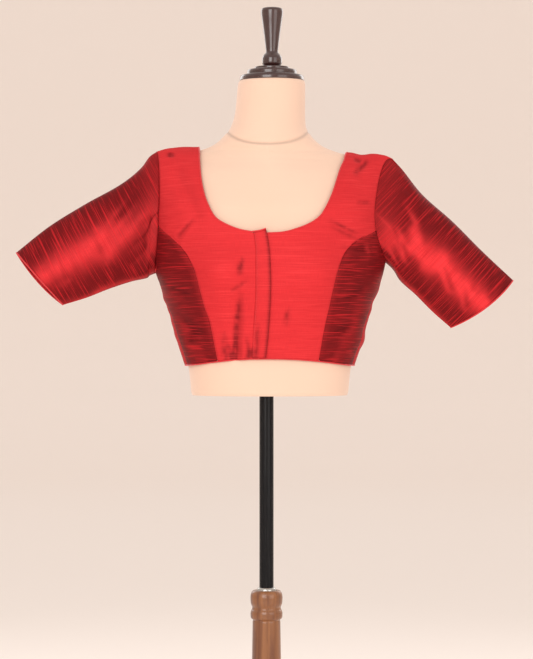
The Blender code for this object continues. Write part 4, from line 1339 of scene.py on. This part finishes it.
class CHOLI_OT_placket(bpy.types.Operator):
    """Adds the overlap strip down the centre front, with its line of stitches"""

    bl_idname = "choli.placket"
    bl_label = "Placket"

    def execute(self, context):
        settings = context.scene.choli_cloth
        shares = [c / PLACKET_COLUMNS for c in range(PLACKET_COLUMNS + 1)]
        rows = [[placket_place(share, k / FRONT_ROWS) for share in shares] for k in range(FRONT_ROWS + 1)]
        thickness = settings.thickness * PLACKET_THICKNESS
        obj = cloth("placket", [rows], silk_point, body_grain, placket_painted_light, thickness)
        finish_silk(obj, "front_placket", "red", settings)
        line = [placket_place(STITCH_LINE, k / STITCH_LINE_STEPS) for k in range(STITCH_LINE_STEPS + 1)]
        seam = stitches("placket_stitches", line, settings.stitch)
        finish_piece(seam, "form", None, sewing_thread(tuple(settings.piping_red)))
        return {"FINISHED"}


def stitches(name, places, pitch):
    """Stitches along a line of places on the cloth: each is a small rod that lies on it."""
    points = [silk_point(*place) for place in places]
    length = sum((b - a).length for a, b in zip(points, points[1:]))
    count = int(length * MM / pitch)
    spots = evenly(points, count)
    bm = bmesh.new()
    for a, b in zip(spots, spots[1:]):
        along = (b - a).normalized()
        out = Vector((0, -1, 0))
        side = out.cross(along).normalized()
        out = along.cross(side)
        place = Matrix((along, side, out)).transposed().to_4x4()
        place.translation = (a + b) / 2 * MM
        size = Matrix.Diagonal((*(STITCH_HALF_SIZES * pitch), 1.0))
        bmesh.ops.create_uvsphere(bm, u_segments=8, v_segments=6, radius=1.0, matrix=place @ size)
    return new_object(name, bm)


LOOPS = {}


def armhole_loop(side, turn):
    """A place on the armhole seam: turn goes from the shoulder down the front, and up the back."""
    if side not in LOOPS:
        low, princess = ARMHOLES[side].low_z, PRINCESS_TOP[side]
        edge = armhole_edge(side, low, SIDE_ARMHOLE_ROWS, end_s=princess)
        edge += armhole_edge(side, princess, STRAP_ROWS)[1:]
        LOOPS[side] = edge[::-1] + armhole_edge(side, low, SLEEVE_SIDES // 2, front=False)[1:]
    edge = LOOPS[side]
    at = (turn % (2 * pi)) / (2 * pi) * (len(edge) - 1)
    i = min(int(at), len(edge) - 2)
    (theta_a, s_a), (theta_b, s_b) = edge[i], edge[i + 1]
    if abs(theta_b - theta_a) > pi:
        theta_b += 2 * pi if theta_a > theta_b else -2 * pi
    share = at - i
    return theta_a + (theta_b - theta_a) * share, s_a + (s_b - s_a) * share


SLEEVE_STARTS = {}


def sleeve_start(side, turn):
    """The sleeve's edge at the armhole, the normal there and the way off the panels."""
    key = (side, round(turn % (2 * pi), 6))
    if key not in SLEEVE_STARTS:
        place = armhole_loop(side, turn)
        stride = 0.1
        before = body_surface(*armhole_loop(side, turn - stride))
        after = body_surface(*armhole_loop(side, turn + stride))
        normal = body_normal(*place)
        away = normal.cross(after - before).normalized() * sign(side)
        SLEEVE_STARTS[key] = (body_point(*place, -SEAM_DIP) + away * SLEEVE_SEAM_GAP, normal, away)
    return SLEEVE_STARTS[key]


def sleeve_rows(side):
    """The sleeve's table with a first row at the armhole."""
    hole = ARMHOLES[side]
    high = body_surface(angle_at(hole.shoulder_x, SHOULDER_TOP), SHOULDER_TOP)
    side_x = body_surface(pi if side == "right" else 0.0, hole.low_z).x
    return [SleeveRow(0, high.x, high.z, side_x, hole.low_z, SLEEVE_HEAD_HALF_DEPTH, 0)] + SLEEVES[side]


SLEEVE_TRACKS = {side: tracks(sleeve_rows(side), "along") for side in SLEEVES}


def sleeve_section(side, turn, along):
    """A lens across the sleeve, with its folds above and below."""
    columns = ("top_x", "top_z", "low_x", "low_z", "half_depth", "y")
    top_x, top_z, low_x, low_z, depth, y = (SLEEVE_TRACKS[side][column].at(along) for column in columns)
    top, bottom = Vector((top_x, y, top_z)), Vector((low_x, y, low_z))
    half = (top - bottom) / 2
    outwards = Vector((half.z, 0, -half.x)).normalized() * sign(side)
    tilt = radians(SLEEVE_TILT[side])
    forwards = Vector((0, -cos(tilt), 0)) - outwards * sin(tilt)
    across = sin(turn) * abs(sin(turn)) ** (CUFF_SHARPNESS * along)
    bulge = CUFF_BULGE[side] * along**3 * sin(turn) ** 2
    return (top + bottom) / 2 + half * cos(turn) + forwards * across * depth + outwards * bulge


def sleeve_surface(side, turn, along):
    start = sleeve_start(side, turn)[0]
    fade = max(0.0, 1 - along / SLEEVE_CAP_FADE) ** 2
    point = sleeve_section(side, turn, along) + (start - sleeve_section(side, turn, 0)) * fade
    grown = min(1, along * 8)
    folds = SLEEVE_FOLDS[side] + SLEEVE_CREASES[side]
    sink = fold_depth(folds, point.x, point.z) * grown * abs(sin(turn)) ** 0.7
    wave = noise.noise(Vector((turn * 2.2, along * 6, 3.1 * sign(side)))) * RIPPLE_HEIGHT * grown
    return point - Vector((0, -copysign(1, sin(turn)) * (sink - wave), 0))


def sleeve_normal(side, turn, along):
    step, stride = 0.12, 0.03
    if along == 0:
        _, normal, away = sleeve_start(side, turn)
        mixed_normal = (normal + sleeve_normal(side, turn, 1 / SLEEVE_RINGS)).normalized()
        return (mixed_normal - away * max(0.0, mixed_normal.dot(away))).normalized()
    around = sleeve_surface(side, turn + step, along) - sleeve_surface(side, turn - step, along)
    before, after = max(0, along - stride), min(1, along + stride)
    ahead = sleeve_surface(side, turn, after) - sleeve_surface(side, turn, before)
    return around.cross(ahead).normalized() * sign(side)


def sleeve_grain(side):
    """The weft runs round the sleeve in straight rounds and the warp along its axis, in metres."""
    axis = sleeve_axis(side)

    def grain(turn, along):
        return turn * SLEEVE_RADIUS * MM, sleeve_surface(side, turn, along).dot(axis) * MM

    return grain


class CHOLI_OT_sleeves(bpy.types.Operator):
    """Adds the elbow-length sleeves of slubbed maroon silk"""

    bl_idname = "choli.sleeves"
    bl_label = "Sleeves"

    def execute(self, context):
        settings = context.scene.choli_cloth
        for side in ("right", "left"):
            rows = []
            for i in range(SLEEVE_RINGS + 1):
                along = i / SLEEVE_RINGS
                rows.append([(2 * pi * k / SLEEVE_SIDES, along, 0.0) for k in range(SLEEVE_SIDES + 1)])

            def point(turn, along, out=0.0, side=side):
                place = sleeve_surface(side, turn, along)
                return place + sleeve_normal(side, turn, along) * out if out else place

            lustre = sleeve_painted_light(side)
            grain = sleeve_grain(side)
            obj = cloth(f"silk_sleeve_{side}", [rows], point, grain, lustre, settings.thickness, weld=2e-6)
            finish_silk(obj, f"sleeve_{side}", "maroon", settings)
        return {"FINISHED"}


# The piping's middle lies past the cloth's edge by a share of its own thickness, and this far below the face
PIPING_REACH = 0.42
PIPING_SINK = 0.55
PIPING_OVER_STEPS = 12
PIPING_LIFT = 0.7


def along_edge(places, turn_sign, reach):
    """The middle of the piping along places of the body: just past the edge of the cloth."""
    points = [silk_point(*place) for place in places]
    result = []
    for k, place in enumerate(places):
        tangent = points[min(k + 1, len(points) - 1)] - points[max(k - 1, 0)]
        normal = body_normal(*place[:2])
        past = (normal.cross(tangent) * turn_sign).normalized()
        result.append(points[k] + past * reach - normal * PIPING_SINK)
    return result


class CHOLI_OT_piping(bpy.types.Operator):
    """Adds the piping that binds the neckline, the hem and the cuffs"""

    bl_idname = "choli.piping"
    bl_label = "Piping"

    def execute(self, context):
        settings = context.scene.choli_cloth
        satin = satin_piping(tuple(settings.piping_red))
        radius, reach = settings.piping / 2, settings.piping / MM * PIPING_REACH
        back_right, back_left = back_neck_edge("right", STRAP_ROWS), back_neck_edge("left", STRAP_ROWS)
        right = [place for place in neck_edge("right", STRAP_ROWS) if place[0] > placket_place(0, 1)[0]]
        over = [placket_place(1 - k / PIPING_OVER_STEPS, 1) for k in range(PIPING_OVER_STEPS + 1)]
        left = neck_edge("left", STRAP_ROWS)
        places = over + right + back_right[::-1][1:] + back_left[1:] + left[::-1][1:]
        obj = tube("neck_binding", along_edge(places, -1, reach), radius, closed=False)
        finish_piece(obj, "form", "neck_piping", satin)
        first = angle_at(CENTRE_SEAM_X, HEM_SIDE)
        turns = [first + 2 * pi * k / HEM_STEPS for k in range(HEM_STEPS)]
        places = [(theta, hem_z(theta), placket_lift(theta)) for theta in turns]
        obj = tube("hem_binding", along_edge(places, 1, reach), radius, closed=True)
        finish_piece(obj, "form", "hem_piping", satin)
        for side in ("right", "left"):
            points = []
            for k in range(SLEEVE_SIDES):
                turn = 2 * pi * k / SLEEVE_SIDES
                end = sleeve_surface(side, turn, 1)
                past = (end - sleeve_surface(side, turn, 0.96)).normalized()
                points.append(end + past * reach - sleeve_normal(side, turn, 1) * PIPING_SINK)
            obj = tube(f"cuff_binding_{side}", points, radius, closed=True)
            finish_piece(obj, "form", f"cuff_piping_{side}", satin)
        return {"FINISHED"}


def placket_lift(theta):
    """How far the hem's piping stands out where it goes round the foot of the placket."""
    seam, edge = placket_place(0, 0)[0], placket_place(1, 0)[0]
    share = (seam - theta) / (seam - edge)
    return PLACKET_OUT["edge"] * PIPING_LIFT * max(0.0, share) if share <= 1 else 0.0


def neck_seam_share(z, row, turn):
    """1 on the seam between the form's neck and torso, which dips in front and behind, and 0 away from it."""
    drop = NECK_SEAM_FRONT_DROP if sin(turn) > 0 else -NECK_SEAM_BACK_RISE
    to_side = abs(cos(turn)) ** (2 / row.roundness)
    seam = NECK_SEAM_SIDE_Z - drop * (1 - to_side**2)
    return exp(-(((z - seam) / NECK_SEAM_WIDTH) ** 2))


def form_row(level):
    """The section of the form at a level."""
    return FormRow(*(FORM_TRACKS[column].at(level) for column in FormRow._fields))


def form_surface(turn, level):
    """The dress form; level runs through the rows of FORM."""
    row = form_row(level)
    x = row.half_width * power(cos(turn), 2 / row.roundness)
    across = power(sin(turn), 2 / row.roundness)
    y = -across * (row.front if across > 0 else row.back)
    if across > 0:
        y -= cup_rise(FORM_CUPS, x + row.centre_x, row.z) * across**2
    z = row.z + row.slope * x
    dip = NECK_SEAM_DEPTH * neck_seam_share(z, row, turn)
    inwards = 1 - dip / max(1.0, hypot(x, y))
    return Vector((x * inwards + row.centre_x, y * inwards + row.centre_y, z))


class CHOLI_OT_form(bpy.types.Operator):
    """Adds the padded torso and neck under cream jersey"""

    bl_idname = "choli.form"
    bl_label = "Dress form"

    def execute(self, context):
        bottom = FORM[0].z

        def place(turn, row):
            """Rows 0 and 1 line the pole's socket. The next cross the underside, the rest go up the form."""
            inner = Vector((SOCKET_RADIUS * cos(turn), -SOCKET_RADIUS * sin(turn), bottom))
            if row == 0:
                return inner + Vector((0, 0, SOCKET_DEPTH))
            if row <= FORM_FLOOR_RINGS:
                return inner.lerp(form_surface(turn, 0), (row - 1) / FORM_FLOOR_RINGS)
            return form_surface(turn, (row - FORM_FLOOR_RINGS - 1) / FORM_RINGS * (len(FORM) - 1))

        bm = bmesh.new()
        high = FORM_RINGS + FORM_FLOOR_RINGS + 1
        # How near each point lies to the neck seam, where the jersey is darkened with painted shade
        seam = bm.verts.layers.float.new("seam")
        bmesh.ops.create_grid(bm, x_segments=FORM_SIDES, y_segments=high, size=0.5)
        for vert in bm.verts:
            turn = 2 * pi * round((vert.co.x + 0.5) * FORM_SIDES) / FORM_SIDES
            row = round((vert.co.y + 0.5) * high)
            point = place(turn, row)
            vert.co = point * MM
            level = (row - FORM_FLOOR_RINGS - 1) / FORM_RINGS * (len(FORM) - 1)
            vert[seam] = neck_seam_share(point.z, form_row(level), turn) if level > 0 else 0.0
        bmesh.ops.remove_doubles(bm, verts=bm.verts, dist=1e-6)
        bmesh.ops.holes_fill(bm, edges=[edge for edge in bm.edges if edge.is_boundary], sides=0)
        bmesh.ops.recalc_face_normals(bm, faces=bm.faces)
        if bm.calc_volume(signed=True) < 0:
            bmesh.ops.reverse_faces(bm, faces=bm.faces)
        obj = new_object("jersey_form", bm)
        obj.data.set_sharp_from_angle(angle=radians(60))
        jersey = knitted_jersey(tuple(context.scene.choli_form.jersey))
        finish_piece(obj, "form", "form_torso", jersey)
        return {"FINISHED"}


class CHOLI_OT_neck_cap(bpy.types.Operator):
    """Adds the turned cap on the neck and its handle"""

    bl_idname = "choli.neck_cap"
    bl_label = "Cap and finial"

    def execute(self, context):
        lacquer = lacquered_turning(tuple(context.scene.choli_form.lacquer))
        cap = turned("turned_cap", CAP_PROFILE, NECK_AXIS)
        finish_piece(cap, "form", "neck_cap", lacquer)
        handle = turned("turned_finial", FINIAL_PROFILE, NECK_AXIS)
        finish_piece(handle, "form", "finial", lacquer)
        return {"FINISHED"}


class CHOLI_OT_stand(bpy.types.Operator):
    """Adds the steel pole, the turned post with its ferrule, and the base"""

    bl_idname = "choli.stand"
    bl_label = "Stand"

    def execute(self, context):
        settings = context.scene.choli_form
        pole = turned("steel_pole", POLE_PROFILE)
        finish_piece(pole, "pole", "pole", enamelled_steel(tuple(settings.steel)))
        wood = varnished_wood(tuple(settings.wood), tuple(settings.wood_dark))
        post = turned("turned_post", POST_PROFILE)
        finish_piece(post, "stand", "post", wood)
        base = turned("turned_base", BASE_PROFILE)
        finish_piece(base, "stand", "base", wood)
        ring = turned("steel_ferrule", FERRULE_PROFILE)
        finish_piece(ring, "stand", "ferrule", bright_steel())
        return {"FINISHED"}


# The studio: a round pale floor that sweeps up far behind, and soft lights on every side
StudioLight = namedtuple("StudioLight", "name azimuth height distance size power")
LIGHTS = [
    StudioLight("key", -18, 1.75, 3.2, 1.7, 40),
    StudioLight("fill", 38, 1.5, 3.4, 2.0, 20),
    StudioLight("back_left", 142, 2.2, 3.4, 1.8, 20),
    StudioLight("back_right", 218, 2.2, 3.4, 1.8, 20),
]
LIGHTS_AIM = Vector((0, 0, 1.05))
FLOOR_COLOUR = "#FAF3EE"
WORLD_COLOUR = "#FFF4EC"
WORLD_STRENGTH = 0.9
SWEEP = [
    TurnedPoint(0.0, 0.0, 0),
    TurnedPoint(14000.0, 0.0, 2500),
    TurnedPoint(14000.0, 4500.0, 0),
]


class CHOLI_OT_stage(bpy.types.Operator):
    """Adds the plain floor, the soft studio lights, the world and the camera"""

    bl_idname = "choli.stage"
    bl_label = "Stage"

    def execute(self, context):
        scene = context.scene
        floor = turned("floor", SWEEP)
        material, _, shader = new_material("matt_painted_floor")
        set_shader(shader, Base_Color=linear(FLOOR_COLOUR), Roughness=0.9)
        floor.data.materials.append(material)
        for light in LIGHTS:
            lamp = bpy.data.lights.new(light.name, "AREA")
            lamp.shape = "SQUARE"
            lamp.size = light.size
            lamp.energy = light.power
            obj = bpy.data.objects.new(light.name, lamp)
            turn = radians(light.azimuth)
            obj.location = (light.distance * sin(turn), -light.distance * cos(turn), light.height)
            aim = LIGHTS_AIM - obj.location
            obj.rotation_euler = aim.to_track_quat("-Z", "Y").to_euler()
            obj.visible_camera = False
            scene.collection.objects.link(obj)
        world = bpy.data.worlds.new("studio")
        world.use_nodes = True
        set_shader(world.node_tree.nodes["Background"], Color=linear(WORLD_COLOUR), Strength=WORLD_STRENGTH)
        scene.world = world
        scene.view_settings.view_transform = "Standard"
        data = bpy.data.cameras.new("camera")
        data.sensor_width = SENSOR
        data.lens = SENSOR * VIEW_DISTANCE / FRAME_HEIGHT
        camera = bpy.data.objects.new("camera", data)
        camera.location = (0, -VIEW_DISTANCE, VIEW_HEIGHT)
        camera.rotation_euler = (pi / 2, 0, 0)
        scene.collection.objects.link(camera)
        scene.camera = camera
        return {"FINISHED"}


class CHOLI_PT_sidebar(bpy.types.Panel):
    """Lists the pieces of the blouse and its form"""

    bl_idname = "CHOLI_PT_sidebar"
    bl_label = "Choli blouse"
    bl_space_type = "VIEW_3D"
    bl_region_type = "UI"
    bl_category = "Choli"

    def draw(self, context):
        for group in (context.scene.choli_cloth, context.scene.choli_form):
            for name in group.__annotations__:
                self.layout.prop(group, name)
        for operator in OPERATORS:
            self.layout.operator(operator.bl_idname)


OPERATORS = (
    CHOLI_OT_form,
    CHOLI_OT_centre_fronts,
    CHOLI_OT_side_fronts,
    CHOLI_OT_back,
    CHOLI_OT_placket,
    CHOLI_OT_sleeves,
    CHOLI_OT_piping,
    CHOLI_OT_neck_cap,
    CHOLI_OT_stand,
    CHOLI_OT_stage,
)
CLASSES = (CholiCloth, CholiForm) + OPERATORS + (CHOLI_PT_sidebar,)


def register():
    for kind in CLASSES:
        bpy.utils.register_class(kind)
    bpy.types.Scene.choli_cloth = bpy.props.PointerProperty(type=CholiCloth)
    bpy.types.Scene.choli_form = bpy.props.PointerProperty(type=CholiForm)


def unregister():
    del bpy.types.Scene.choli_cloth
    del bpy.types.Scene.choli_form
    for kind in reversed(CLASSES):
        bpy.utils.unregister_class(kind)


def main():
    register()
    bpy.ops.choli.form()
    bpy.ops.choli.centre_fronts()
    bpy.ops.choli.side_fronts()
    bpy.ops.choli.back()
    bpy.ops.choli.placket()
    bpy.ops.choli.sleeves()
    bpy.ops.choli.piping()
    bpy.ops.choli.neck_cap()
    bpy.ops.choli.stand()
    bpy.ops.choli.stage()


if __name__ == "__main__":
    main()
